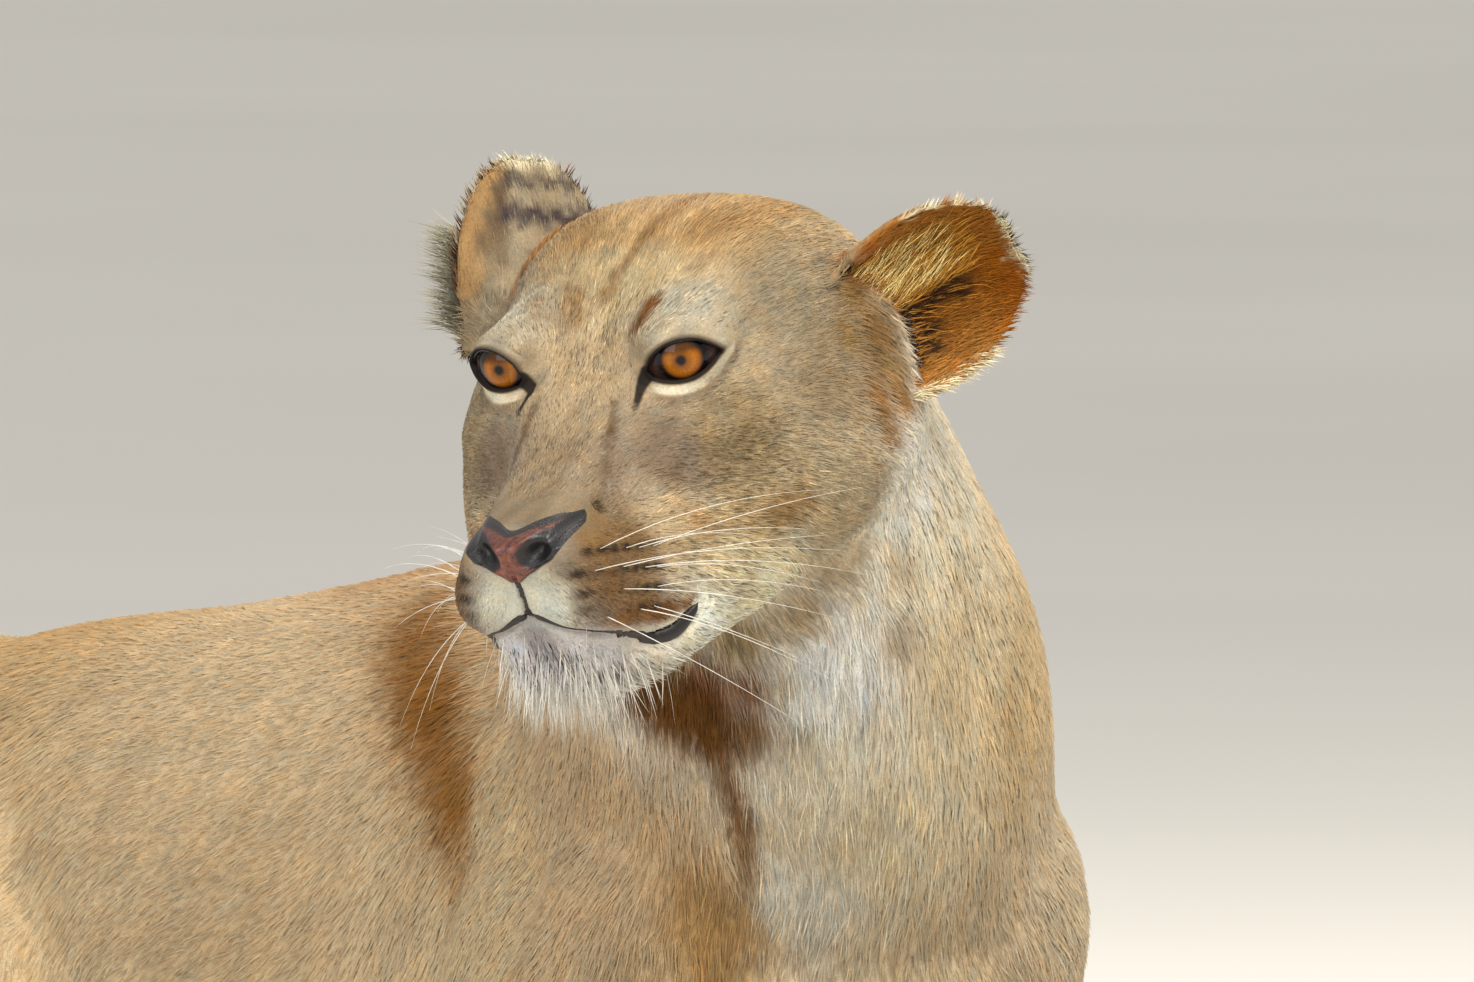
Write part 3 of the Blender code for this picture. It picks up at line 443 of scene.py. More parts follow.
@dataclass(frozen=True)
class Ear:
    """One cupped ear: crescent sections from its root to its tip, in head centimetres."""

    side: float
    out: tuple  # root-to-tip direction
    opens: tuple  # the way the cup opens
    root: tuple
    length: float
    half_width: float
    wall: float = 0.50

    @property
    def axes(self) -> Array:
        """The ear's own directions on the left side: across it, towards its tip, and the way it opens."""
        out = unit(np.array(self.out))
        face = unit(np.array(self.opens) - np.dot(self.opens, out) * out)
        return np.stack([np.cross(out, face), out, face])

    def width_at(self, up: Array) -> Array:
        """Half the rim-to-rim width at height u: widest at 0.42, rounded off to the tip."""
        high = np.sqrt(np.maximum(1 - ((up - 0.42) / 0.60) ** 2, 0.012))
        return self.half_width * np.where(up > 0.42, high, 1 - 0.30 * ((0.42 - up) / 0.58) ** 2)

    @staticmethod
    def arc_at(up: Array) -> Array:
        """Half the angle of the cup's arc at height u."""
        return np.radians(70 - 48 * up)

    def wall_at(self, u: Array, v: Array, behind: float) -> Array:
        """Head points of the cup's wall over height u and width v.

        At height u the front is an arc of half angle a about the cup's axis, R = w / sin a wide enough
        for a rim-to-rim width of 2w; behind is 0 for the front and 1 for the back of the wall.
        """
        up = np.maximum(u, 0)
        w = self.width_at(up)
        a = self.arc_at(up)
        wall = self.wall * (1.3 - 0.7 * up) * behind
        radius = w / np.sin(np.minimum(a, math.pi / 2))
        x = radius * np.sin(v * a) * (1 + wall / radius * 0.6)
        d = radius * (np.cos(v * a) - np.cos(a)) + wall - 1.1 * up**2
        across, out, face = self.axes
        p = out * (u * self.length)[..., None] + across * x[..., None] - face * d[..., None]
        return (p + np.array(self.root)) * (self.side, 1, 1)

    def surface(self, across: int = 41, along: int = 34) -> Surface:
        """The cup as one closed wall: its front from rim to rim, then its back."""
        u, v = np.meshgrid(np.linspace(-0.16, 1, along), np.linspace(-1, 1, across), indexing="ij")
        front, back = self.wall_at(u, v, 0.0), self.wall_at(u, v, 1.0)
        return Surface.tube(HEAD.world(np.concatenate([front, back[:, ::-1]], axis=1)))

    def local(self, points: Array) -> tuple:
        """Where head points are on the ear: height u, width v, and depth in front of the root in centimetres."""
        rel = (points * (self.side, 1, 1) - np.array(self.root)) @ self.axes.T
        u = rel[:, 1] / self.length
        x, deep = self.spoke(u, rel)
        return u, np.arctan2(x, deep) / self.arc_at(np.clip(u, 0, 1)), rel[:, 2]

    def spoke(self, u: Array, rel: Array) -> tuple:
        """Where places in the ear's own directions lie from the centre of the cup's arc: across, and behind."""
        up = np.clip(u, 0, 1)
        a = self.arc_at(up)
        radius = self.width_at(up) / np.sin(np.minimum(a, math.pi / 2))
        return rel[:, 0], radius * np.cos(a) + 1.1 * up**2 - rel[:, 2]

    def on(self, points: Array) -> Array:
        """How surely head points are on the ear: 0 off it, 1 from a fifth of its height."""
        u, _, ahead = self.local(points)
        rel = (points * (self.side, 1, 1) - np.array(self.root)) @ self.axes.T
        x, deep = self.spoke(u, rel)
        up = np.clip(u, 0, 1)
        off = np.abs(np.hypot(x, deep) - self.width_at(up) / np.sin(self.arc_at(up)) - 0.25)
        wide = np.abs(x) < 1.12 * self.width_at(up) + 0.5
        return ramp(u, 0.05, 0.2) * wide * ramp(1.1 - off, 0.0, 0.4) * (np.abs(ahead) < 7.5) * (u < 1.15)

    def inner(self, points: Array, normals: Array) -> Array:
        """How surely the ear's surface at head points faces into the cup, from its directions."""
        rel = (points * (self.side, 1, 1) - np.array(self.root)) @ self.axes.T
        x, deep = self.spoke(rel[:, 1] / self.length, rel)
        facing = (normals * (self.side, 1, 1)) @ self.axes.T
        return ramp(-(facing[:, 0] * x - facing[:, 2] * deep) / np.maximum(np.hypot(x, deep), 1e-6), -0.2, 0.3)


EARS = {
    "left": Ear(1.0, (0.52, -0.79, 0.32), (0.84, 0.54, -0.04), (10.1, -12.8, -2.4), 9.3, 4.6),
    "right": Ear(-1.0, (-0.16, -0.30, 0.94), (0.85, -0.53, -0.03), (9.6, -12.7, -0.8), 8.7, 4.3),
}


# ---- eyes
class Eye:
    """One eye: its opening between the lids, its wet surface, and the lids' dark rims.

    Its frame, in centimetres, is (outward, depth, up) about the socket's centre, with depth along the way
    the opening faces, 24 degrees outward of straight ahead.
    """

    RADIUS = 1.80
    FACES = math.radians(24.0)
    GAZE = {"left": math.radians(13.0), "right": math.radians(5.0)}  # to her left of straight ahead
    CORNERS = np.array((2.30, 1.60, 1.95))  # half sizes of the wet tissue that fills the corners
    LID = np.array((2.80, 1.86, 2.75))  # half sizes of the lids' own surface
    # The opening's edge: outward, upper lid, lower lid.
    EDGE = (
        (-1.95, -0.42, -0.48), (-1.6, 0.3, -0.86), (-1.0, 0.76, -1.06), (-0.3, 0.98, -1.14), (0.4, 1.0, -1.06),
        (1.0, 0.84, -0.82), (1.55, 0.5, -0.44), (2.05, 0.06, -0.02),
    )

    def __init__(self, name: str) -> None:
        """Takes the side's name, left or right."""
        self.name, self.side = name, SIDES[name]
        out, ahead = math.cos(self.FACES), math.sin(self.FACES)
        self.axes = np.array([(self.side * out, -ahead, 0), (self.side * ahead, out, 0), (0, 0, 1)])
        self.centre = np.array((self.side * HEAD.EYE_AT[0], *HEAD.EYE_AT[1:]))
        rows = between(np.array(self.EDGE), 10)
        self.span = rows
        self.loop = np.concatenate([rows[:, :2], rows[-2:0:-1, (0, 2)]])

    def local(self, points: Array) -> Array:
        """Head centimetres to (outward, depth, up)."""
        return (points - self.centre) @ self.axes.T

    def head(self, local: Array) -> Array:
        """(outward, depth, up) to head centimetres."""
        return local @ self.axes + self.centre

    def outside(self, local: Array) -> Array:
        """Distance from the opening's edge seen face on: positive outside it, negative inside."""
        start = self.loop[:, None]
        step = np.roll(self.loop, -1, axis=0)[:, None] - start
        away = local[None][..., (0, 2)] - start
        t = np.clip((away * step).sum(-1) / np.maximum((step**2).sum(-1), 1e-9), 0, 1)
        distance = np.linalg.norm(away - t[..., None] * step, axis=-1).min(axis=0)
        upper, lower = (np.interp(local[:, 0], self.span[:, 0], self.span[:, k], left=0, right=0) for k in (1, 2))
        return np.where((local[:, 2] < upper) & (local[:, 2] > lower), -distance, distance)

    def near(self, points: Array) -> tuple[Array, Array, Array]:
        """Which head points are round the eye, and their places and distances outside the opening."""
        local = self.local(points)
        which = (np.abs(local[:, 0]) < 3.8) & (np.abs(local[:, 2]) < 3.4) & (local[:, 1] > -4.0)
        return which, local[which], self.outside(local[which])

    @staticmethod
    def dome(local: Array, half: Array) -> Array:
        """Depth of an ellipsoid's front: b sqrt(1 - (x / a)^2 - (z / c)^2)."""
        left = 1 - (local[:, 0] / half[0]) ** 2 - (local[:, 2] / half[2]) ** 2
        return half[1] * np.sqrt(np.maximum(left, 0.0))

    def wet(self, local: Array) -> Array:
        """Depth of the eye's wet surface: the eyeball, or the corner tissue where that stands further out."""
        return np.maximum(self.dome(local, np.full(3, self.RADIUS)), self.dome(local, self.CORNERS))

    def lids(self, points: Array) -> Array:
        """Head points of the skin moved to make the lids.

        With A the distance outside the opening, the skin's depth goes to the lids' surface by
        exp(-(A / w)^2), w = 0.75 below and 1.15 above, and inside the opening it drops behind the wet surface.
        A fold runs above the lid.
        """
        which, part, gap = self.near(points)
        share = np.exp(-((np.maximum(gap, 0) / (0.75 + 0.40 * ramp(part[:, 2], 0.3, 1.2))) ** 2))
        target = np.maximum(self.dome(part, self.LID), self.wet(part) + 0.12)
        depth = part[:, 1] * (1 - share) + target * share
        above = ramp(part[:, 2], 0.3, 0.8)
        depth += above * (0.16 * np.exp(-(((gap - 0.62) / 0.22) ** 2)) - 0.16 * np.exp(-(((gap - 0.34) / 0.10) ** 2)))
        below = ramp(-part[:, 2], 0.4, 0.9)
        depth -= below * 0.10 * np.exp(-(((gap - 0.62) / 0.12) ** 2))
        sink = ramp(-gap, 0.0, 0.12)
        part[:, 1] = depth * (1 - sink) + (self.wet(part) - 0.40) * sink
        moved = points.copy()
        moved[which] = self.head(part)
        return moved

    def ball(self, around: int = 72, rings: int = 40) -> tuple[Surface, Array]:
        """The eye over angle from its front a and turn t: r (sin a cos t, cos a, sin a sin t), r the larger of
        the eyeball's radius and the corner tissue's radius that way; and each point's place about the gaze."""
        a, t = np.meshgrid(np.linspace(0.03, 1.42, rings), turns(around), indexing="ij")
        way = np.stack([np.sin(a) * np.cos(t), np.cos(a), np.sin(a) * np.sin(t)], -1)
        radius = np.maximum(self.RADIUS, 1 / np.linalg.norm(way / self.CORNERS, axis=-1))
        made = Surface.tube(way * radius[..., None])
        made.points *= 1 - 0.5 * ramp(self.outside(made.points), 0.15, 0.8)[:, None]
        made.points = self.head(made.points)
        turn = self.GAZE[self.name]
        gaze = np.array([(math.cos(turn), -math.sin(turn), 0), (math.sin(turn), math.cos(turn), 0), (0, 0, 1)])
        hub = self.head(np.array([(0.25, 0.0, 0.0)]))
        seen = (made.points - hub) @ gaze.T
        made.points = HEAD.world(made.points)
        return made, seen

    def rim(self, around: int = 10) -> Surface:
        """The lids' dark margin: a tube along the opening's edge, thick above and thin below."""
        local = np.column_stack([self.loop[:, 0], np.zeros(len(self.loop)), self.loop[:, 1]])
        upper = ramp(self.loop[:, 1], -0.6, 0.4)
        size = 0.058 + 0.040 * upper
        local[:, 1] = self.wet(local) + 0.06 + 0.03 * upper
        ahead = unit(np.roll(local, -1, axis=0) - np.roll(local, 1, axis=0))
        out = unit(np.cross(ahead, (0.0, 1.0, 0.0)))
        up = np.cross(out, ahead)
        turn = turns(around)
        ring = out[:, None] * np.cos(turn)[None, :, None] * 1.25 + up[:, None] * np.sin(turn)[None, :, None]
        return Surface.hoop(HEAD.world(self.head(local[:, None] + ring * size[:, None, None])))


EYES = {name: Eye(name) for name in SIDES}


# ---- nose, lips and whiskers
class Muzzle:
    """The nose leather, the lips' and philtrum's dark edges, and the whiskers."""

    # The nose leather down its height: up, half width.
    LEATHER = (
        (-4.15, 2.1), (-4.4, 2.65), (-4.9, 2.95), (-5.4, 2.75), (-5.9, 2.2), (-6.3, 1.4), (-6.65, 0.78), (-7.0, 0.3),
    )
    NOSTRIL = (1.5, -5.4)  # lateral, up
    WHISKER_SEED = 4
    # The mouth's line on the left side, with the dark lip's half thickness: lateral, forward, up, size.
    MOUTH = (
        (0.0, 11.2, -9.2, 0.3), (0.9, 11.0, -9.6, 0.27), (1.8, 10.7, -9.98, 0.2), (2.6, 10.3, -10.35, 0.17),
        (3.4, 9.1, -10.95, 0.19), (3.9, 7.9, -11.45, 0.24), (4.4, 6.5, -11.85, 0.34), (5.1, 5.4, -11.8, 0.46),
        (5.8, 4.7, -11.3, 0.32), (6.2, 4.2, -10.8, 0.1),
    )
    PHILTRUM = ((0.0, 11.8, -6.8, 0.26), (0.0, 11.5, -7.6, 0.17), (0.0, 11.2, -8.5, 0.14), (0.0, 11.2, -9.2, 0.20))
    # Whisker rows on the left pad: first and last place as (lateral, forward, up), and how many.
    ROWS = (
        ((3.3, 10.3, -6.0), (5.0, 5.4, -7.2), 6), ((3.1, 11.1, -6.9), (5.2, 6.0, -8.2), 7),
        ((3.2, 11.0, -7.9), (5.3, 6.6, -9.1), 6), ((3.0, 10.8, -8.8), (5.0, 7.0, -10.0), 5),
    )

    @staticmethod
    def ahead(points: Array) -> Array:
        """Which head points are on the front of the muzzle or the chin."""
        return (points[:, 1] > 1.5) & (points[:, 2] < -3.0) & (points[:, 2] > -16)

    def bare(self, points: Array) -> Array:
        """Distance in centimetres from head points to the nearest bare skin: lips, philtrum and leather."""
        gap = np.full(len(points), 9.0)
        near = self.ahead(points)
        part = points[near]
        part[:, 0] = np.abs(part[:, 0])
        best = np.full(len(part), 9.0)
        for path in (self.MOUTH, self.PHILTRUM):
            rows = between(np.array(path), 6)
            away = np.linalg.norm(part[:, None] - rows[None, :, :3], axis=-1) - rows[None, :, 3]
            best = np.minimum(best, away.min(axis=1))
        low = np.maximum(-7.0 - part[:, 2], part[:, 2] + self.top(part[:, 0]))
        sides = part[:, 0] - self.half_width(part[:, 2])
        leather = np.where(part[:, 1] > 7.5, np.maximum(low, sides * 0.9), 9.0)
        gap[near] = np.minimum(best, leather)
        return gap

    def half_width(self, up: Array) -> Array:
        """The nose leather's half width at a height."""
        rows = np.array(self.LEATHER)[::-1]
        return np.interp(up, rows[:, 0], rows[:, 1])

    @staticmethod
    def top(lateral: Array) -> Array:
        """How far below the eyes the leather's upper edge is: 4.15, with a notch in the middle."""
        return 4.15 + 0.30 * np.exp(-((lateral / 0.9) ** 2))

    def pit(self, lateral: Array, up: Array) -> Array:
        """How deep the nostrils are: 1 in the middle of each, and 0.8 along a tail drawn up and outward from it."""
        side, high = np.abs(lateral) - self.NOSTRIL[0], up - self.NOSTRIL[1]
        along, across = side * 0.85 + high * 0.53, side * 0.53 - high * 0.85
        tail = 0.8 * np.exp(-((across / 0.40) ** 2) - ((along - 0.95) / 0.75) ** 2)
        return np.maximum(np.exp(-((across / 0.60) ** 2) - (along / 0.85) ** 2), tail)

    def sunk(self, lateral: Array, up: Array) -> Array:
        """How far the skin is pressed back behind the nose leather, most at the nostrils."""
        inside = ramp(self.half_width(up) - 0.15 - np.abs(lateral), 0.0, 0.3)
        inside *= ramp(-self.top(lateral) - 0.1 - up, 0.0, 0.3) * ramp(up + 6.85, 0.0, 0.3)
        return 0.45 * inside + 1.5 * self.pit(lateral, up)

    def groove(self, points: Array) -> Array:
        """Head points pressed in along the mouth and philtrum by d exp(-(a / w)^2), and sunk behind the nose."""
        moved = points.copy()
        near = np.flatnonzero(self.ahead(points))
        part = points[near]
        inward = unit(np.array((0.0, 4.0, -8.0)) - part)
        mirrored = part.copy()
        mirrored[:, 0] = np.abs(mirrored[:, 0])
        for path, deep, wide in ((self.MOUTH, 0.36, 0.26), (self.PHILTRUM, 0.20, 0.20)):
            rows = between(np.array(path), 6)[:, :3]
            distance = np.linalg.norm(mirrored[:, None] - rows[None], axis=-1).min(axis=1)
            moved[near] += inward * (deep * np.exp(-((distance / wide) ** 2)))[:, None]
        moved[near, 1] -= self.sunk(part[:, 0], part[:, 2]) * (part[:, 1] > 7.5)
        return moved

    def leather(self, tree: BVHTree, across: int = 81, down: int = 56) -> tuple[Surface, Array]:
        """The nose leather over height t and width s in [-1, 1].

        Its front lies on the muzzle's face plus a low swell, less a pit at each nostril and a groove down the
        middle; its back lies behind the skin. Also returns each point's (darkness, pit depth, height).
        """
        up = np.linspace(0, 1, down)[:, None]
        s = np.sin(np.linspace(-1, 1, across) * math.pi / 2)[None]
        z = -4.15 - 2.85 * up - 0.30 * np.exp(-((self.half_width(-4.15 - 2.85 * up) * s / 0.9) ** 2)) * (1 - up) ** 3
        x = self.half_width(-4.15 - 2.85 * up) * s + 0 * z
        starts = np.stack([x, np.full_like(x, 16.0), z], -1)
        ahead = laid(tree, starts, np.array((0.0, -1.0, 0.0)))[..., 1] + self.sunk(x, z)
        edge = np.maximum(np.abs(s) ** 6, np.maximum(1 - up / 0.06, 0) ** 2 * np.ones_like(s))
        swell = 0.20 * (1 - edge) - 0.06 * edge
        hollow = self.pit(x, z)
        rim = 0.12 * np.exp(-(((hollow - 0.12) / 0.08) ** 2)) * ramp(2.4 - np.abs(x), 0.0, 0.5)
        middle = 0.12 * np.exp(-((x / 0.10) ** 2)) * ramp(up, 0.15, 0.4)
        front = np.stack([x, ahead + swell - 1.25 * hollow + rim - middle, z], -1)
        back = np.stack([x * 0.9, ahead - 1.9, z], -1)
        rings = np.concatenate([front, back[:, ::-1]], axis=1)
        made = Surface.tube(HEAD.world(rings))
        dark = np.maximum(ramp(hollow, 0.06, 0.26), 0.95 * ramp(np.abs(s) + 0 * z, 0.78, 0.92))
        dark = np.maximum(dark, np.maximum(ramp(0.12 - up, 0.0, 0.06), 0.45 * ramp(0.5 - up, 0.0, 0.4)) + 0 * x)
        dark = np.maximum(dark, ramp(np.abs(x), 2.0, 2.4))
        facts = np.concatenate([np.stack([dark, hollow, up + 0 * x], -1)] * 2, axis=1).reshape(-1, 3)
        return made, np.concatenate([facts, facts[:2]])

    def strands(self, tree: BVHTree, path: tuple, sides: tuple, around: int = 10) -> Surface:
        """Dark flattened tubes along a path laid on the skin, one to a side."""
        parts = []
        for side in sides:
            rows = between(np.array(path), 7)
            line = rows[:, :3] * (side, 1, 1)
            line, normal = nearest(tree, line)
            line = line - normal * 0.02
            along = unit(np.gradient(line, axis=0))
            across = unit(np.cross(along, normal))
            turn = turns(around)
            count = np.arange(len(rows))
            size = rows[:, 3] * np.sqrt(np.clip(np.minimum(count, count[::-1]) / 3, 0.1, 1))
            ring = across[:, None] * np.cos(turn)[None, :, None] + normal[:, None] * np.sin(turn)[None, :, None] * 0.55
            parts.append(Surface.tube(HEAD.world(line[:, None] + ring * size[:, None, None])))
        return Surface.joined(parts)

    def lines(self) -> tuple:
        """The dark edges to lay on the skin, with the sides each is on."""
        return ((self.MOUTH, (1.0, -1.0)), (self.PHILTRUM, (1.0,)))

    def spots(self) -> Array:
        """Places of the whisker spots on both sides, in head centimetres."""
        rows = [np.linspace(first, last, count) for first, last, count in self.ROWS]
        left = np.concatenate(rows)
        return np.concatenate([left, left * (-1, 1, 1)])

    def whiskers(self, tree: BVHTree, rng: np.random.Generator) -> Surface:
        """Tapered hairs from the spots: each a bent line that sweeps out, back and down."""
        roots, normal = nearest(tree, self.spots())
        side = np.sign(roots[:, :1])
        keep = (rng.random(len(roots)) < 0.85) & (roots[:, 1] < 10.6)
        roots, normal, side = roots[keep], normal[keep], side[keep]
        count = len(roots)
        back = np.concatenate([side * 0.45, np.full((count, 1), -1.0), np.full((count, 1), -0.25)], axis=1)
        way = unit(unit(back) + normal * 0.55 + rng.normal(0, 0.10, (count, 3)))
        length = rng.uniform(5.0, 12.5, count)
        t = np.linspace(0, 1, 12)[None, :, None]
        drop = np.array((0.0, -0.35, -1.0)) * rng.uniform(0.10, 0.28, (count, 1))
        line = roots[:, None] + length[:, None, None] * (way[:, None] * t + drop[:, None] * t**2)
        return hairs(line, 0.034 * (1 - t[..., 0] * 0.8) * np.ones((count, 1)))


def laid(tree: BVHTree, starts: Array, way: Array) -> Array:
    """Where rays from these head points along one way meet the skin, or the start's nearest place if they miss."""
    world, toward = HEAD.world(starts).reshape(-1, 3), Vector(HEAD.turned(way))
    hits = [tree.ray_cast(Vector(p), toward)[0] or tree.find_nearest(Vector(p))[0] for p in world]
    return HEAD.head(np.array(hits)).reshape(starts.shape)


def nearest(tree: BVHTree, points: Array) -> tuple[Array, Array]:
    """The skin's nearest places to these head points, and its outward directions there."""
    found = [tree.find_nearest(Vector(p))[:2] for p in HEAD.world(points)]
    places, normals = np.array([f[0] for f in found]), np.array([f[1] for f in found])
    return HEAD.head(places), unit(normals @ HEAD.inverse[:3, :3].T)


def hairs(lines: Array, radii: Array) -> Surface:
    """Thin three-sided tapered tubes along many lines of head points at once."""
    count = len(lines)
    along = unit(np.gradient(lines, axis=1))
    side = unit(np.cross(along, (0.0, 0.3, 1.0)))
    up = np.cross(side, along)
    turn = np.arange(3) * 2 * np.pi / 3
    ring = side[:, :, None] * np.cos(turn)[None, None, :, None] + up[:, :, None] * np.sin(turn)[None, None, :, None]
    points = lines[:, :, None] + ring * radii[..., None, None]
    one = Surface.tube(points[0])
    centres = np.stack([points[:, 0].mean(axis=1), points[:, -1].mean(axis=1)], axis=1)
    every = np.concatenate([points.reshape(count, -1, 3), centres], axis=1)
    faces = one.faces[None] + (np.arange(count) * every.shape[1])[:, None, None]
    return Surface(HEAD.world(every.reshape(-1, 3)), faces.reshape(-1, 3))


MUZZLE = Muzzle()


# ---- markings
def linear(code: str) -> tuple:
    """An sRGB hex colour as linear RGB: c / 12.92 below 0.04045, else ((c + 0.055) / 1.055) ^ 2.4."""
    values = [int(code[k : k + 2], 16) / 255 for k in (1, 3, 5)]
    return tuple(v / 12.92 if v <= 0.04045 else ((v + 0.055) / 1.055) ** 2.4 for v in values)


class Zone(Enum):
    """Whose frame a place is given in: head centimetres, or body centimetres with the spine straight."""

    HEAD = "head"
    BODY = "body"


def frames(points: Array) -> dict:
    """World points in both frames."""
    body = (points - HEAD.shift) * 100
    body[:, 0] += Masses.lean(body[:, 1] / 100) * 100
    return {Zone.HEAD: HEAD.head(points), Zone.BODY: body}


def both_sides(zone: Zone, rows: tuple) -> list:
    """Rows (zone, place, ...) in one frame, with those off the middle mirrored unless they end with False."""
    out = []
    for place, *rest in rows:
        one = rest and rest[-1] is False
        rest = rest[:-1] if one else rest
        out.append((zone, place, *rest))
        if not one and place[0]:
            flip = [(-item[0], *item[1:]) if isinstance(item, tuple) and len(item) == 3 else item for item in rest]
            out.append((zone, (-place[0], *place[1:]), *flip))
    return out


def smooth_noise(points: Array, size: float, seed: int, waves: int = 7) -> Array:
    """Soft random values about 0: the mean of sines across random directions, with this wavelength in metres."""
    rng = np.random.default_rng(seed)
    ways = unit(rng.normal(size=(waves, 3))) * (2 * np.pi / size) * rng.uniform(0.7, 1.4, (waves, 1))
    return np.sin(points @ ways.T + rng.uniform(0, 6.28, waves)).mean(axis=1) * 1.6


class Markings:
    """The coat's colours: tints that blend into each other, and marks laid over them."""

    # Place, colour and how far it reaches.
    TINTS = both_sides(Zone.HEAD, (
        ((0.0, 9.5, -4.0), "#7D725C", 1.6), ((0.0, 4.2, -1.9), "#9A8668", 2.0),
        ((2.6, 4.5, -3.2), "#8C7B66", 1.5), ((0.0, 0.0, 0.8), "#A28C6B", 2.0),
        ((3.6, 9.4, -7.6), "#6F5333", 2.0), ((1.4, 11.4, -8.2), "#BFBDAB", 1.2),
        ((4.6, 8.0, -9.2), "#7B5E3A", 1.2), ((1.5, 9.6, -13.0), "#C8C5C6", 2.2),
        ((4.0, 6.0, -14.5), "#CBC2B0", 2.0), ((5.0, 2.2, -3.3), "#7A6954", 1.6),
        ((7.8, -0.2, -3.6), "#8F7B5A", 2.4), ((5.8, 3.6, -7.0), "#B29A75", 1.6),
        ((7.2, 1.0, -8.6), "#D0BC93", 2.0), ((6.0, 3.4, -12.2), "#E7E5D1", 1.8),
        ((7.4, -0.6, -12.3), "#E8DCB8", 2.4), ((9.5, -6.0, -9.0), "#AE9B79", 2.8),
        ((4.6, -3.2, 2.6), "#A79D86", 1.8), ((1.2, -5.5, 3.6), "#AE9A74", 2.0),
        ((2.9, -10.2, 5.5), "#A6875A", 3.0), ((0.0, -16.0, 4.6), "#9E7C4A", 3.0),
        ((8.4, -8.7, 1.1), "#918268", 2.6), ((9.8, -8.0, -3.0), "#998567", 2.4),
        ((10.9, -13.6, -9.4), "#DAD4C3", 2.0), ((3.0, -1.0, -15.0), "#CBC2AD", 3.0),
        ((0.0, 11.8, -3.6), "#B4A68C", 0.9), ((10.0, -10.2, -1.2), "#8E7246", 1.1),
        ((9.5, -12.4, 0.5), "#8E6C3C", 1.0), ((10.3, -13.2, -1.8), "#8A6A40", 1.2),
        ((10.9, -12.9, -3.9), "#94764A", 1.2), ((11.2, -12.8, -5.4), "#946C3A", 1.1),
        ((3.5, 8.4, -5.5), "#7A6242", 1.2), ((4.4, 6.4, -6.8), "#7C603C", 1.3),
        ((10.7, -7.2, -9.2), "#AC997A", 2.0), ((7.4, -10.1, -13.2), "#B4A284", 2.0),
        ((5.2, -8.9, -15.9), "#AE9A7A", 1.8), ((2.3, -7.6, -16.6), "#A08A62", 1.5),
        ((11.1, -13.0, -8.3), "#DCD4CB", 1.3), ((9.7, -16.3, -10.9), "#D8D1C8", 1.9),
        ((9.0, -14.6, -14.5), "#C2B194", 1.5), ((9.8, -19.1, -16.2), "#C4B496", 2.2),
        ((8.3, -13.7, -18.7), "#B7A48A", 1.7), ((6.7, -11.6, -18.9), "#D2CCB8", 1.2),
        ((5.6, -11.1, -21.0), "#E1D9C7", 1.6), ((6.4, -13.3, -23.7), "#D9D0BB", 1.6),
        ((3.7, -10.5, -22.7), "#B4A484", 1.5, False), ((3.5, -9.2, -19.7), "#AE9C7A", 1.3, False),
        # Under the jaw: rust-brown fur, partly painted shade cast by the jaw.
        ((1.9, -8.4, -19.4), "#7F4E1D", 1.3, False), ((-0.7, -7.9, -19.2), "#734012", 1.8, False),
        ((-3.9, -8.5, -19.7), "#83592B", 1.8, False), ((1.2, -9.1, -21.8), "#8A6234", 1.6, False),
    )) + both_sides(Zone.BODY, (
        ((-7.5, -29.5, 40.5), "#EAE9E3", 4.5, False), ((-4.0, -31.0, 50.5), "#E6E0CE", 4.0, False),
        ((-1.6, -29.3, 47.5), "#D9CCAF", 4.0, False), ((0.4, -28.0, 41.8), "#CFBC99", 5.0, False),
        ((7.1, -22.9, 38.6), "#C4AB82", 5.0, False), ((9.6, -19.0, 27.7), "#C1AE90", 6.0, False),
        ((-2.0, -25.9, 32.9), "#DACBAC", 5.0, False), ((-5.9, -22.2, 28.6), "#E3DDCC", 3.0, False),
        ((-5.8, -27.7, 36.3), "#E9DFC7", 4.0, False), ((-14.3, -10.8, 34.3), "#B39975", 6.0, False),
        ((-13.8, -14.7, 30.9), "#BDA27D", 6.0, False), ((-14.6, -1.7, 28.3), "#C5AC84", 6.0, False),
        ((-9.0, -19.0, 27.5), "#BA9A6A", 3.0, False), ((-10.0, -8.0, 47.0), "#B18D5C", 5.0, False),
        ((0.0, -3.0, 46.0), "#9E774B", 7.0), ((14.0, -2.0, 30.0), "#C1A57D", 7.0, False),
        ((0.0, 30.0, 44.0), "#AB8357", 8.0), ((13.0, 32.0, 34.0), "#D0B68E", 10.0),
        ((16.0, 30.0, 22.0), "#C5AB84", 10.0), ((12.0, 34.0, 4.0), "#DFD5BB", 8.0),
        ((0.0, 30.0, 0.0), "#E5DFCE", 8.0), ((0.0, 66.0, 36.0), "#BA9665", 9.0),
        ((16.0, 70.0, 24.0), "#C7AB7F", 12.0), ((20.0, 50.0, 16.0), "#CCB288", 8.0),
        ((14.0, -15.0, 6.0), "#C9AE84", 10.0), ((13.6, -38.0, 4.0), "#D0B992", 6.0),
        ((22.6, 48.0, 3.0), "#D0B992", 6.0), ((19.0, 80.0, 5.0), "#BB9B71", 6.0),
        ((-20.0, 112.0, 2.5), "#BEA070", 9.0, False), ((0.0, 96.0, 22.0), "#BEA070", 8.0),
    ))
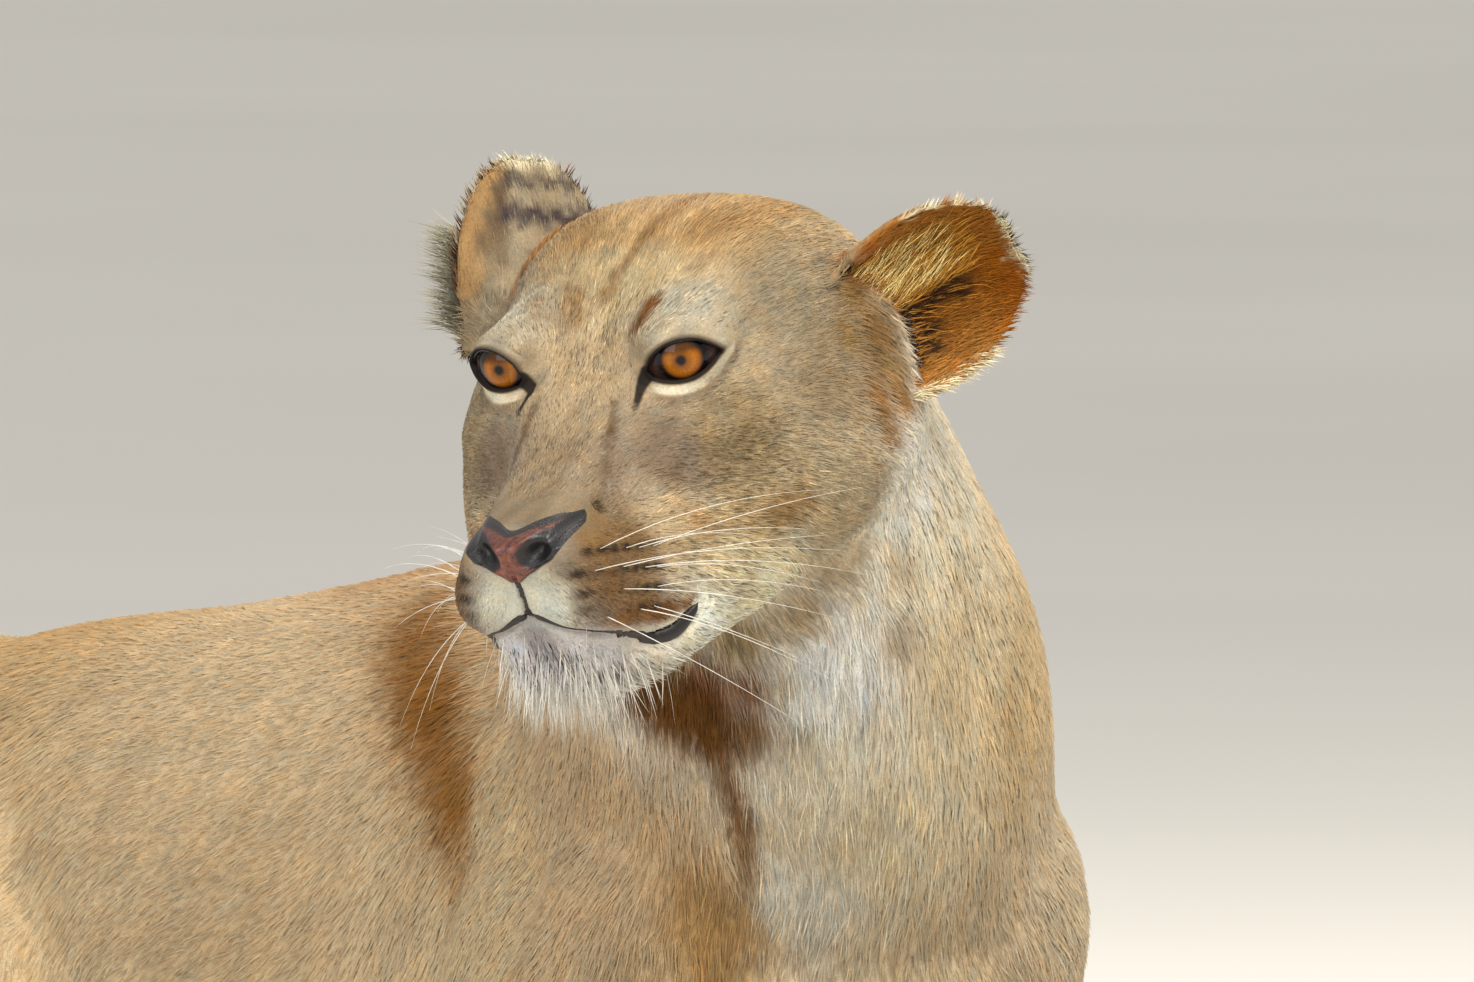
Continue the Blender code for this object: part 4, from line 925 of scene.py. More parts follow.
    # Strokes: from, to, colour, width and strength.
    MARKS = both_sides(Zone.HEAD, (
        ((2.2, 1.8, -0.9), (2.4, 3.3, -1.8), "#5A4228", 0.24, 0.7),
        ((2.4, 3.3, -1.8), (2.8, 5.2, -3.2), "#604830", 0.3, 0.55),
        ((2.8, 5.2, -3.2), (3.2, 7.2, -4.3), "#6C5438", 0.45, 0.4),
        ((-1.9, -2.8, 2.3), (-2.1, -4.6, 3.4), "#745026", 0.85, 0.6, False),
        ((2.5, -1.7, 1.8), (2.7, -3.3, 3.1), "#6A400E", 0.46, 1.0, False),
        ((-3.6, -2.6, 2.6), (-3.9, -3.8, 3.3), "#7E5C30", 0.55, 0.5, False),
        ((-0.6, -4.3, 3.0), (0.5, -8.3, 5.1), "#745028", 0.4, 0.6, False),
        ((0.5, -8.3, 5.1), (1.4, -12.6, 5.8), "#7E5526", 0.55, 0.55, False),
        ((3.4, -8.6, 5.2), (5.6, -14.5, 4.6), "#8A6434", 1.1, 0.5),
        ((4.6, 2.4, -3.0), (6.2, 1.6, -5.0), "#7A6652", 1.2, 0.45),
        ((0.6, 5.0, -2.4), (0.8, 9.6, -4.0), "#7E6A50", 1.4, 0.55),
        ((6.4, 2.9, -6.8), (6.6, 2.2, -7.4), "#8A6232", 0.55, 0.55),
        ((8.9, -1.2, -8.0), (9.2, -2.6, -7.6), "#92703F", 1.0, 0.65),
        ((10.5, -12.3, -1.9), (11.0, -10.4, -4.6), "#7E5A2A", 0.9, 0.6),
        ((11.0, -10.4, -4.6), (11.4, -10.2, -6.6), "#865E2C", 0.8, 0.8),
        ((10.9, -13.4, -9.0), (9.4, -14.4, -12.1), "#DAD3C6", 0.55, 0.75),
        ((9.4, -14.4, -12.1), (7.5, -11.2, -15.9), "#CFC6B2", 0.45, 0.75),
        ((9.7, -15.3, -12.5), (9.0, -13.7, -14.4), "#8E7858", 0.22, 0.75),
        ((9.0, -13.7, -14.4), (7.9, -12.0, -16.6), "#97815F", 0.28, 0.6),
        ((7.7, 1.2, -7.2), (9.0, -1.6, -7.8), "#8F6C3C", 1.1, 0.55),
        ((4.2, 9.3, -9.9), (5.2, 6.6, -10.5), "#7E5220", 0.62, 0.8),
        ((5.2, 6.6, -10.5), (5.9, 5.0, -10.6), "#76491A", 0.65, 0.9),
        ((3.4, 9.6, -5.6), (4.4, 7.2, -6.2), "#7C5E34", 0.6, 0.6),
        ((5.4, 5.2, -12.2), (5.9, 4.5, -11.4), "#2A1C14", 0.36, 0.9),
        ((0.0, 10.8, -10.4), (0.5, 10.3, -11.4), "#5A4A40", 0.9, 0.55),
        ((0.0, 11.4, -7.4), (0.0, 11.2, -9.0), "#4A3A2C", 0.16, 0.8),
    )) + both_sides(Zone.BODY, (
        # Behind her right shoulder: a rust band of darker fur, partly painted shade of the fold at the shoulder's rear
        # edge.
        ((-8.8, 20.0, 42.6), (-12.8, 5.5, 32.5), "#9E7440", 3.6, 0.45, False),
        ((-9.6, 17.5, 41.2), (-11.8, 11.2, 37.0), "#80500F", 2.5, 0.88, False),
        ((-11.8, 11.2, 37.0), (-12.8, 5.5, 32.5), "#80500F", 2.2, 0.82, False),
        ((-12.8, 5.5, 32.5), (-14.0, 3.4, 29.0), "#8A5C20", 1.8, 0.6, False),
        ((11.8, 11.2, 37.0), (12.8, 5.5, 32.5), "#94692F", 1.4, 0.55, False),
        # Under the jaw and down the crease between neck and shoulder: rust-brown fur, partly painted shade of the jaw
        # and of the crease.
        ((-16.4, -22.0, 40.6), (-13.6, -25.4, 39.4), "#5A370E", 2.2, 0.92, False),
        ((-15.2, -24.8, 39.8), (-12.7, -25.4, 37.4), "#65400F", 1.6, 0.95, False),
        ((-12.7, -25.4, 37.4), (-10.0, -23.5, 33.0), "#6E450F", 0.7, 0.95, False),
        ((-10.0, -23.5, 33.0), (-8.6, -21.0, 28.8), "#7C521C", 0.7, 0.85, False),
        ((-10.6, -19.4, 29.4), (-9.0, -19.4, 24.0), "#A27A44", 1.8, 0.55, False),
        ((0.0, -6.0, 47.0), (0.0, 60.0, 38.0), "#98703C", 1.6, 0.45),
        ((14.0, 10.0, 8.0), (17.0, 40.0, 10.0), "#A68658", 3.0, 0.3),
    ))

    @staticmethod
    def spots(local: Array, muzzle: "Muzzle") -> Array:
        """How dark the whisker spots are at head points: a short dash at each, drawn out along its row."""
        dark = np.zeros(len(local))
        near = (local[:, 1] > 3.5) & (local[:, 2] < -4.5)
        part = local[near]
        away = part[:, None] - muzzle.spots()[None]
        squared = (away[..., 0] / 0.34) ** 2 + (away[..., 1] / 0.30) ** 2 + (away[..., 2] / 0.14) ** 2
        dark[near] = np.minimum(1.8 * np.exp(-0.5 * squared).max(axis=1), 1)
        return dark

    def colours(self, points: Array, normals: Array) -> Array:
        """Linear colours of the coat at world points, with the skin's directions there."""
        places = frames(points)
        total, weights = np.zeros_like(points), np.zeros(len(points))
        for zone, place, code, reach in self.TINTS:
            squared = ((places[zone] - np.array(place)) ** 2).sum(axis=1) / reach**2
            weight = 1 / (squared + 0.10) ** 2
            total += weight[:, None] * np.array(linear(code))
            weights += weight
        made = total / weights[:, None]
        ripple = 0.25 * smooth_noise(points, 0.011, 5) + 0.25 * smooth_noise(points, 0.006, 6)
        for zone, start, end, code, width, strength in self.MARKS:
            a, step = np.array(start), np.array(end) - np.array(start)
            rel = places[zone] - a
            t = np.clip(rel @ step / (step @ step), 0, 1)
            away = np.linalg.norm(rel - t[:, None] * step, axis=1) / width
            share = strength * ramp(1.75 - away + ripple, 0.0, 1.5)
            made += share[:, None] * (np.array(linear(code)) - made)
        made = self.ears(places[Zone.HEAD], normals, made)
        made = self.tail(places[Zone.BODY], made)
        dark = 0.97 * self.spots(places[Zone.HEAD], MUZZLE)
        made += dark[:, None] * (np.array(linear("#2E2014")) - made)
        made = self.lids(places[Zone.HEAD], made)
        near = ramp(-np.linalg.norm(places[Zone.HEAD] - (0, -4, -4), axis=1), -20.0, -13.0)
        tone = 1 + 0.09 * smooth_noise(points, 0.05, 1) + (0.07 + 0.09 * near) * smooth_noise(points, 0.016, 2)
        warm = 0.045 * smooth_noise(points, 0.021, 3) + 0.035 * smooth_noise(points, 0.009, 4)
        made *= tone[:, None] * np.stack([1 + warm, 1 + 0 * warm, 1 - 1.4 * warm], -1)
        return np.clip(made, 0.004, 0.95)

    @staticmethod
    def ears(places: Array, normals: Array, made: Array) -> Array:
        """Ears: orange inside with a dark hollow (dark skin, partly painted shade deep in the cup), dark behind, pale
        along the rim.
        """
        facing = unit(normals @ HEAD.inverse[:3, :3].T)
        for ear in EARS.values():
            u, v, _ = ear.local(places)
            on, inner = ear.on(places), ear.inner(places, facing)
            u, v = u + 0.030 * smooth_noise(places, 1.0, 41), v + 0.08 * smooth_noise(places, 1.3, 42)
            back = ramp(0.66 - v, 0.0, 0.12)
            line = ramp(0.16 - np.abs(v + 0.20), 0.0, 0.10) * ramp(u, 0.2, 0.3) * ramp(0.8 - u, 0.0, 0.15)
            colour = np.ones((len(places), 1)) * np.array(linear("#9C8C70"))
            for share, code in (
                (0.5 * ramp(smooth_noise(places, 0.8, 43), 0.1, 0.9), "#5C4C38"),
                (ramp(v, 0.62, 0.78), "#9C7A4E"),
                (0.8 * ramp(0.20 - np.abs(v - 0.60), 0.0, 0.16) * ramp(u, 0.2, 0.6), "#4A341C"),
                (0.92 * back * ramp(u, 0.58, 0.68) * ramp(0.77 - u, 0.0, 0.08), "#32272F"),
                (0.85 * back * ramp(u, 0.82, 0.87) * ramp(0.92 - u, 0.0, 0.05), "#2E262C"),
                (inner, "#9E6420"),
                (inner * ramp(0.35 - u, 0.0, 0.2) * ramp(v, 0.0, 0.4), "#A8601C"),
                (inner * ramp(-v, 0.45, 0.75) * 0.4, "#B8803C"),
                (inner * ramp(u, 0.55, 0.85) * ramp(0.2 - v, 0.0, 0.3), "#A05C0C"),
                # The hollow deep in the cup: its dark skin, partly painted shade of the recess.
                (0.92 * inner * ramp(1.0 - np.hypot((u - 0.30) / 0.22, (v + 0.45) / 0.38), 0.0, 0.5), "#24150F"),
                (0.90 * inner * line, "#281810"),
                (np.maximum(ramp(v, 0.94, 1.0) * inner * ramp(u, 0.35, 0.6), ramp(u, 0.94, 0.98)), "#E4D8B4"),
            ):
                colour = colour + share[:, None] * (np.array(linear(code)) - colour)
            made = made + on[:, None] * (colour - made)
        return made

    @staticmethod
    def tail(places: Array, made: Array) -> Array:
        """The dark tuft at the tail's end."""
        end = np.array(Masses.TAIL)[-4:, :3] * 100
        away = np.linalg.norm(places[:, None] - end[None], axis=-1).min(axis=1)
        share = ramp(7.5 - away, 0.0, 3.0)
        return made + share[:, None] * (np.array(linear("#2B1C12")) - made)

    @staticmethod
    def lids(places: Array, made: Array) -> Array:
        """Round each eye: black at the lids' edge, a cream crescent below, and a dark wedge at the inner corner."""
        made = made.copy()
        for eye in EYES.values():
            which, part, gap = eye.near(places)
            out, up = part[:, 0], part[:, 2]
            colour = made[which]
            below = ramp(-up - 0.15 + 0.10 * out, 0.0, 0.4) * ramp(out, -2.0, -1.3)
            cream = below * ramp(gap, 0.14, 0.20) * ramp(0.68 - gap, 0.0, 0.14)
            under = below * ramp(gap, 0.64, 0.76) * ramp(1.25 - gap, 0.0, 0.4)
            upper = (1 - below) * ramp(0.30 - gap, 0.0, 0.16)
            edge = ramp(0.14 - gap, 0.0, 0.08)
            step = np.array((-0.95, -1.35))
            t = np.clip(((out + 1.85) * step[0] + (up + 0.50) * step[1]) / (step @ step), 0, 1)
            wedge = ramp(0.50 - 0.30 * t - np.hypot(out + 1.85 - step[0] * t, up + 0.50 - step[1] * t), 0.0, 0.16)
            inner = ramp(1.0 - gap, 0.0, 0.5) * ramp(-out - 1.5, 0.0, 0.6) * ramp(up + 0.2, 0.0, 0.5)
            for share, code in (
                (0.35 * inner, "#5C4630"), (0.45 * under, "#5E5044"), (0.90 * cream, "#D8CCB0"),
                (0.75 * upper, "#3A281A"), (0.95 * edge, "#140D0A"), (0.95 * wedge, "#15100E"),
            ):
                colour = colour + share[:, None] * (np.array(linear(code)) - colour)
            made[which] = colour
        return made


# ---- how the hair lies
class Lie:
    """Which way the hair runs, how long it is and how deep the coat is, from hairs combed at known places."""

    # Place, direction, hair length and coat depth in millimetres.
    HAIRS = both_sides(Zone.HEAD, (
        ((0.0, 10.8, -4.3), (0.0, -1.0, 0.3), 3.5, 0.8), ((0.0, 5.0, -2.2), (0.0, -1.0, 0.5), 5.0, 1.2),
        ((2.6, 5.0, -3.4), (0.5, -1.0, 0.3), 4.5, 1.0), ((0.0, -0.5, 0.8), (0.0, -1.0, 0.8), 6.0, 1.5),
        ((1.0, -5.0, 3.5), (0.1, -1.0, 0.6), 7.0, 1.8), ((4.4, -4.4, 3.2), (0.45, -1.0, 0.6), 7.0, 1.8),
        ((0.0, -12.0, 5.9), (0.0, -1.0, -0.1), 9.0, 2.2), ((5.0, -12.0, 4.8), (0.4, -1.0, -0.1), 9.0, 2.2),
        ((4.8, -1.4, 1.7), (0.5, -0.6, 0.8), 5.0, 1.2), ((2.5, 1.0, 0.0), (-0.1, -0.9, 0.6), 3.5, 0.8),
        ((3.4, 2.6, -2.2), (0.5, -1.0, -0.1), 4.0, 0.9), ((5.2, 0.8, -2.6), (0.8, -0.8, -0.25), 4.5, 1.0),
        ((7.6, -2.6, -0.4), (0.6, -1.0, -0.1), 5.5, 1.3), ((4.0, 8.5, -7.5), (0.4, -1.0, -0.2), 4.2, 1.0),
        ((1.4, 11.4, -8.0), (0.7, -0.3, -0.8), 4.0, 0.8), ((3.2, 9.6, -9.9), (0.5, -0.7, -0.8), 4.5, 1.0),
        ((5.5, 4.0, -6.0), (0.6, -1.0, -0.3), 6.0, 1.5), ((7.6, 0.0, -6.0), (0.6, -1.0, -0.35), 7.0, 1.8),
        ((6.4, 2.0, -11.0), (0.4, -1.0, -0.6), 9.0, 2.4), ((9.4, -7.0, -8.0), (0.3, -1.0, -0.5), 8.0, 2.2),
        ((9.0, -8.0, 1.0), (0.4, -1.0, 0.0), 8.0, 2.0), ((0.5, 10.4, -11.8), (0.1, 0.1, -1.0), 7.0, 1.6),
        ((2.0, 9.0, -13.6), (0.3, -0.2, -1.0), 13.0, 3.2), ((2.0, 6.0, -15.0), (0.2, -1.0, -0.3), 14.0, 3.6),
        ((4.0, -2.0, -15.0), (0.2, -1.0, -0.3), 10.0, 2.8), ((11.0, -12.0, -8.0), (0.3, -1.0, -0.7), 12.0, 3.2),
        ((7.4, -10.1, -13.2), (0.3, -1.0, -0.9), 8.0, 2.2), ((4.6, -8.6, -16.2), (0.3, -0.8, -1.0), 9.0, 2.6),
        ((10.7, -7.2, -9.2), (0.3, -1.0, -0.5), 8.0, 2.2), ((9.7, -16.3, -10.9), (0.1, -0.7, -1.0), 12.0, 3.4),
        ((8.6, -14.0, -17.0), (0.15, -0.5, -1.0), 12.0, 3.6),
        ((5.6, -11.2, -20.5), (0.1, -0.3, -1.0), 13.0, 4.0), ((0.0, -19.0, 3.0), (0.0, -1.0, -0.6), 15.0, 4.0),
    )) + both_sides(Zone.BODY, (
        ((-2.0, -8.0, 47.0), (0.0, 1.0, -0.3), 12.0, 3.8),
        ((-14.0, -18.0, 42.0), (0.0, 0.6, -1.0), 12.0, 3.8, False),
        ((0.0, -28.5, 46.0), (0.25, 0.1, -1.0), 12.0, 3.8, False),
        ((6.0, -23.0, 39.0), (0.45, 0.1, -1.0), 12.0, 3.8, False),
        ((9.6, -19.0, 28.0), (0.45, 0.2, -1.0), 13.0, 4.2, False),
        ((-8.0, -29.0, 39.0), (0.15, 0.0, -1.0), 14.0, 5.0, False),
        ((-4.0, -25.0, 32.0), (0.12, 0.1, -1.0), 15.0, 5.0, False),
        ((-7.0, -21.5, 27.0), (-0.05, 0.1, -1.0), 15.0, 5.0, False),
        ((0.0, -20.0, 14.0), (0.0, 0.4, -1.0), 17.0, 5.5), ((14.4, -11.0, 32.0), (0.1, 0.55, -1.0), 11.0, 3.6),
        ((15.0, 0.0, 22.0), (0.0, 0.4, -1.0), 11.0, 3.4), ((0.0, 0.0, 46.0), (0.0, 1.0, -0.1), 12.0, 4.0),
        ((0.0, 40.0, 43.0), (0.0, 1.0, 0.0), 12.0, 3.6), ((14.0, 32.0, 34.0), (0.1, 1.0, -0.35), 11.0, 3.4),
        ((17.0, 30.0, 20.0), (0.0, 1.0, -0.55), 12.0, 3.6), ((10.0, 35.0, 2.0), (-0.2, 0.8, -0.5), 20.0, 6.0),
        ((8.0, 80.0, 34.0), (0.3, 0.7, -0.7), 12.0, 3.5), ((20.0, 66.0, 22.0), (0.2, 0.5, -1.0), 12.0, 3.5),
        ((20.0, 47.0, 14.0), (0.0, 0.2, -1.0), 10.0, 3.0), ((14.0, 4.0, 6.0), (0.0, 0.4, -0.8), 12.0, 3.5),
        ((14.0, -8.0, 7.0), (0.1, -1.0, -0.3), 9.0, 2.8), ((13.6, -26.0, 5.0), (0.05, -1.0, -0.1), 8.0, 2.4),
        ((13.6, -40.0, 4.0), (0.0, -1.0, -0.4), 6.0, 1.8), ((19.0, 70.0, 9.0), (0.1, 1.0, -0.2), 9.0, 2.6),
        ((21.0, 64.0, 3.0), (0.1, -1.0, 0.0), 8.0, 2.4), ((22.8, 46.0, 3.5), (0.0, -1.0, -0.4), 6.0, 1.8),
    ))
    REACH = {Zone.HEAD: 2.2, Zone.BODY: 6.0}

    def __init__(self) -> None:
        """Gathers the combed hairs, with those along the tail."""
        self.rows = list(self.HAIRS)
        path = np.array(Masses.TAIL)[:, :3] * 100
        along = unit(np.gradient(path, axis=0))
        for k, (place, way) in enumerate(zip(path, along)):
            size = (34.0, 9.0) if k >= len(path) - 4 else (11.0, 3.2)
            self.rows.append((Zone.BODY, tuple(place), tuple(way), *size))

    def at(self, points: Array) -> tuple[Array, Array, Array]:
        """Directions, hair lengths and coat depths in metres at world points, blended by nearness."""
        places = frames(points)
        flow, sizes, weights = np.zeros_like(points), np.zeros((len(points), 2)), np.zeros(len(points))
        for zone, place, way, length, depth in self.rows:
            squared = ((places[zone] - np.array(place)) ** 2).sum(axis=1) / self.REACH[zone] ** 2
            weight = 1 / (squared + 0.12) ** 2
            aim = HEAD.turned(np.array(way)) if zone is Zone.HEAD else unit(np.array(way))
            flow += weight[:, None] * aim
            sizes += weight[:, None] * (length, depth)
            weights += weight
        sizes = sizes / weights[:, None] / 1000
        head = places[Zone.HEAD]
        for ear in EARS.values():
            _, v, _ = ear.local(head)
            on = ear.on(head)
            across, out, _ = ear.axes
            way = HEAD.turned((out + across * (0.5 * v)[:, None]) * (ear.side, 1, 1))
            flow = unit(flow) * (1 - on)[:, None] + way * on[:, None]
            sizes += on[:, None] * (np.array((0.0065, 0.0007)) - sizes)
        return unit(flow), sizes[:, 0], sizes[:, 1]


LIE = Lie()


# ---- the skin
class Skin:
    """One closed skin, fine at the head and coarser behind, inside the solids by the coat's depth."""

    FINE, COARSE = 0.0025, 0.009  # voxel edges of the head and of the body
    SOFTNESS = 7 * 0.0075**2  # rounds of smoothing times the voxel's square
    NECK_CUT, NECK_TILT = 14.8, -24.8  # where the fine head ends: centimetres behind the eyes, and the plane's tilt
    HEAD_ROOM = (18.0, 40.0, 20.0)  # half sizes of a box round the head, along the neck plane's directions
    FLOOR = 0.0025  # the skin's least height

    def __init__(self) -> None:
        """Starts with no mesh."""
        self.shape = HeadShape()
        self.obj: Object | None = None

    def rounds(self, voxel: float) -> int:
        """Smoothing rounds that soften a voxel mesh as much as the solids were."""
        return round(self.SOFTNESS / voxel**2)

    def form(self, name: str, masses: Surface, voxel: float) -> Object:
        """One region's masses fused, with the face's forms laid on."""
        made = fuse(Surface.joined([masses, self.shape.loft()]).piece(name), voxel, self.rounds(voxel))
        move_to(made, HEAD.world(self.shape.sculpted(HEAD.head(points_of(made)))))
        return made

    @staticmethod
    def neck_axes() -> Array:
        """The neck plane's own directions, in the head's frame: across, backwards through it, and up it."""
        tilt = math.radians(Skin.NECK_TILT)
        return np.array([(1, 0, 0), (0, -math.cos(tilt), math.sin(tilt)), (0, math.sin(tilt), math.cos(tilt))])

    def cut(self, obj: Object, back: float, head_side: bool) -> tuple[Surface, Array]:
        """Cuts an object at the neck plane, within a box that holds the head.

        Args:
            obj: The form to cut, which is removed.
            back: Where the plane stands, in centimetres behind the eyes.
            head_side: True to keep the head, False to keep the body.

        Returns:
            The kept side as a surface, and the numbers of its rim's points.
        """
        axes = self.neck_axes()
        normal, at = HEAD.turned(axes)[1], HEAD.world(axes[1] * back)
        bm = bmesh.new()
        bm.from_mesh(obj.data)
        bpy.data.objects.remove(obj)
        middles = HEAD.head(np.array([face.calc_center_median() for face in bm.faces])) @ axes.T
        inside = (np.abs(middles) < self.HEAD_ROOM).all(axis=1)
        faces = [face for face, keep in zip(bm.faces, inside) if keep]
        if head_side:
            bmesh.ops.delete(bm, geom=[face for face, keep in zip(bm.faces, inside) if not keep], context="FACES")
        near = list({vert for face in faces for vert in face.verts} | {edge for face in faces for edge in face.edges})
        sides = {"clear_outer": head_side, "clear_inner": not head_side}
        bmesh.ops.bisect_plane(bm, geom=near + faces, plane_co=at, plane_no=normal, **sides)
        bmesh.ops.triangulate(bm, faces=bm.faces[:])
        bm.verts.index_update()
        points = np.array([vert.co for vert in bm.verts])
        triangles = np.array([[vert.index for vert in face.verts] for face in bm.faces])
        rim = np.array([vert.index for vert in bm.verts if vert.is_boundary])
        bm.free()
        return Surface(points, triangles), rim

    def zipped(self, near: tuple[Surface, Array], far: tuple[Surface, Array]) -> Surface:
        """Two open surfaces closed with a strip between their rims, each in order of angle round the neck.

        Each rim edge makes one triangle with the other rim's point that comes just before it in angle.
        """
        whole = Surface.joined([near[0], far[0]])
        across, _, up = HEAD.turned(self.neck_axes())
        rims, turns = [], []
        for rim in (near[1], far[1] + len(near[0].points)):
            spokes = whole.points[rim] - whole.points[near[1]].mean(axis=0)
            turn = np.arctan2(spokes @ up, spokes @ across)
            rims.append(rim[np.argsort(turn)])
            turns.append(np.sort(turn))
        a, b = rims
        before_b = b[np.searchsorted(turns[1], turns[0], "left") - 1]
        before_a = a[np.searchsorted(turns[0], turns[1], "right") - 1]
        strip = [np.stack([np.roll(a, 1), a, before_b], -1), np.stack([b, np.roll(b, 1), before_a], -1)]
        whole.faces = np.concatenate([whole.faces, *strip])
        return whole

    @staticmethod
    def unite(base: Object, part: Object) -> None:
        """Joins a part to the base as one closed surface."""
        join = base.modifiers.new("unite", "BOOLEAN")
        join.operation, join.solver, join.object = "UNION", "MANIFOLD", part
        settle(base)
        bpy.data.objects.remove(part)

    @staticmethod
    def size_wanted(places: Array) -> Array:
        """The longest mesh edge allowed at head points, in centimetres: fine at the eyes, the nose and the mouth."""
        size = np.full(len(places), 9.0)
        for eye in EYES.values():
            away = np.linalg.norm((places - eye.centre - (0, 1.6, -0.1)) / (1.25, 1.4, 1.0), axis=1)
            size = np.where(away < 2.1, 0.085, np.where(away < 3.0, 0.16, size))
        face = np.flatnonzero((places[:, 1] > 2.5) & (places[:, 2] < -3.5))
        gap = MUZZLE.bare(places[face])
        size[face] = np.minimum(size[face], np.where(gap < 0.45, 0.13, np.where(gap < 0.9, 0.2, 9.0)))
        return size

    def refine(self) -> None:
        """Splits the skin's long edges where it has to be fine, then smooths what was split."""
        for _ in range(2):
            mesh = self.obj.data
            ends = np.empty(len(mesh.edges) * 2, np.int32)
            mesh.edges.foreach_get("vertices", ends)
            ends = ends.reshape(-1, 2)
            places = HEAD.head(points_of(self.obj))
            a, b = places[ends[:, 0]], places[ends[:, 1]]
            long = np.linalg.norm(a - b, axis=1) > self.size_wanted((a + b) / 2)
            bm = bmesh.new()
            bm.from_mesh(mesh)
            edges = [edge for edge, chosen in zip(bm.edges, long) if chosen]
            bmesh.ops.subdivide_edges(bm, edges=edges, cuts=1, use_grid_fill=True)
            bmesh.ops.triangulate(bm, faces=[face for face in bm.faces if len(face.verts) > 3])
            bm.to_mesh(mesh)
            bm.free()
        mesh = self.obj.data
        ends = np.empty(len(mesh.edges) * 2, np.int32)
        mesh.edges.foreach_get("vertices", ends)
        ends = ends.reshape(-1, 2)
        points = points_of(self.obj)
        fine = self.size_wanted(HEAD.head(points)) < 1.0
        for _ in range(6):
            total, count = np.zeros_like(points), np.zeros(len(points))
            for one, other in ((0, 1), (1, 0)):
                np.add.at(total, ends[:, one], points[ends[:, other]])
                np.add.at(count, ends[:, one], 1)
            points[fine] += 0.5 * (total[fine] / count[fine, None] - points[fine])
        move_to(self.obj, points)

    def build(self) -> Object:
        """Makes the skin: head and body fused apart and joined at the neck, ears united, then features and colour."""
        masses = Masses()
        head = self.form("head_form", masses.body(front_only=True), self.FINE)
        body = self.form("body_form", masses.body(), self.COARSE)
        near = self.cut(head, self.NECK_CUT, head_side=True)
        far = self.cut(body, self.NECK_CUT + 0.5, head_side=False)
        self.obj = self.zipped(near, far).piece("lioness_skin")
        bm = bmesh.new()
        bm.from_mesh(self.obj.data)
        bmesh.ops.recalc_face_normals(bm, faces=bm.faces[:])
        bm.to_mesh(self.obj.data)
        bm.free()
        for ear in EARS.values():
            self.unite(self.obj, ear.surface().piece("ear_form"))
        points = points_of(self.obj)
        _, _, depth = LIE.at(points)
        move_to(self.obj, points - normals_of(self.obj) * depth[:, None] * 0.8)
        self.refine()
        points = HEAD.head(points_of(self.obj))
        for eye in EYES.values():
            points = eye.lids(points)
        points = MUZZLE.groove(points)
        points = HEAD.world(points)
        points[:, 2] = np.maximum(points[:, 2], self.FLOOR)
        move_to(self.obj, points)
        self.obj.data.polygons.foreach_set("use_smooth", np.ones(len(self.obj.data.polygons), bool))
        set_colour(self.obj, "coat_colour", Markings().colours(points, normals_of(self.obj)))
        return self.obj


# ---- the coat
class Cut(Enum):
    """A tuft's shape, as points of (along, across, up) and its triangles."""

    SHORT = (
        ((0.0, -0.5, 0.0), (0.0, 0.5, 0.0), (0.38, 0.0, 1.0), (1.0, 0.0, 0.0)),
        ((0, 1, 2), (1, 3, 2), (0, 2, 3), (0, 3, 1)),
    )
    LONG = (
        (
            (0.0, -0.4, 0.0), (0.0, 0.4, 0.0), (0.04, 0.0, 1.0), (0.5, -0.5, 0.0), (0.5, 0.5, 0.0), (0.5, 0.0, 1.0),
            (1.0, 0.0, 0.0),
        ),
        ((0, 1, 2), (1, 4, 5), (1, 5, 2), (0, 2, 5), (0, 5, 3), (0, 3, 4), (0, 4, 1), (4, 6, 5), (3, 5, 6), (3, 6, 4)),
    )


@dataclass
class Tufts:
    """Roots of many tufts with their lie: arrays with one row to a tuft, in metres."""

    root: Array
    normal: Array
    flow: Array
    length: Array
    width: Array
    rise: Array
    colour: Array
    sag: float = 0.0

    def some(self, which: Array) -> "Tufts":
        """Those chosen by a mask or by numbers."""
        rows = (getattr(self, name)[which] for name in ("root", "normal", "flow", "length", "width", "rise", "colour"))
        return Tufts(*rows, self.sag)

    def split(self, most: int, key: Array) -> list:
        """Even shares of at most this many tufts, in order of a key."""
        return [self.some(part) for part in np.array_split(np.argsort(key), math.ceil(len(key) / most))]


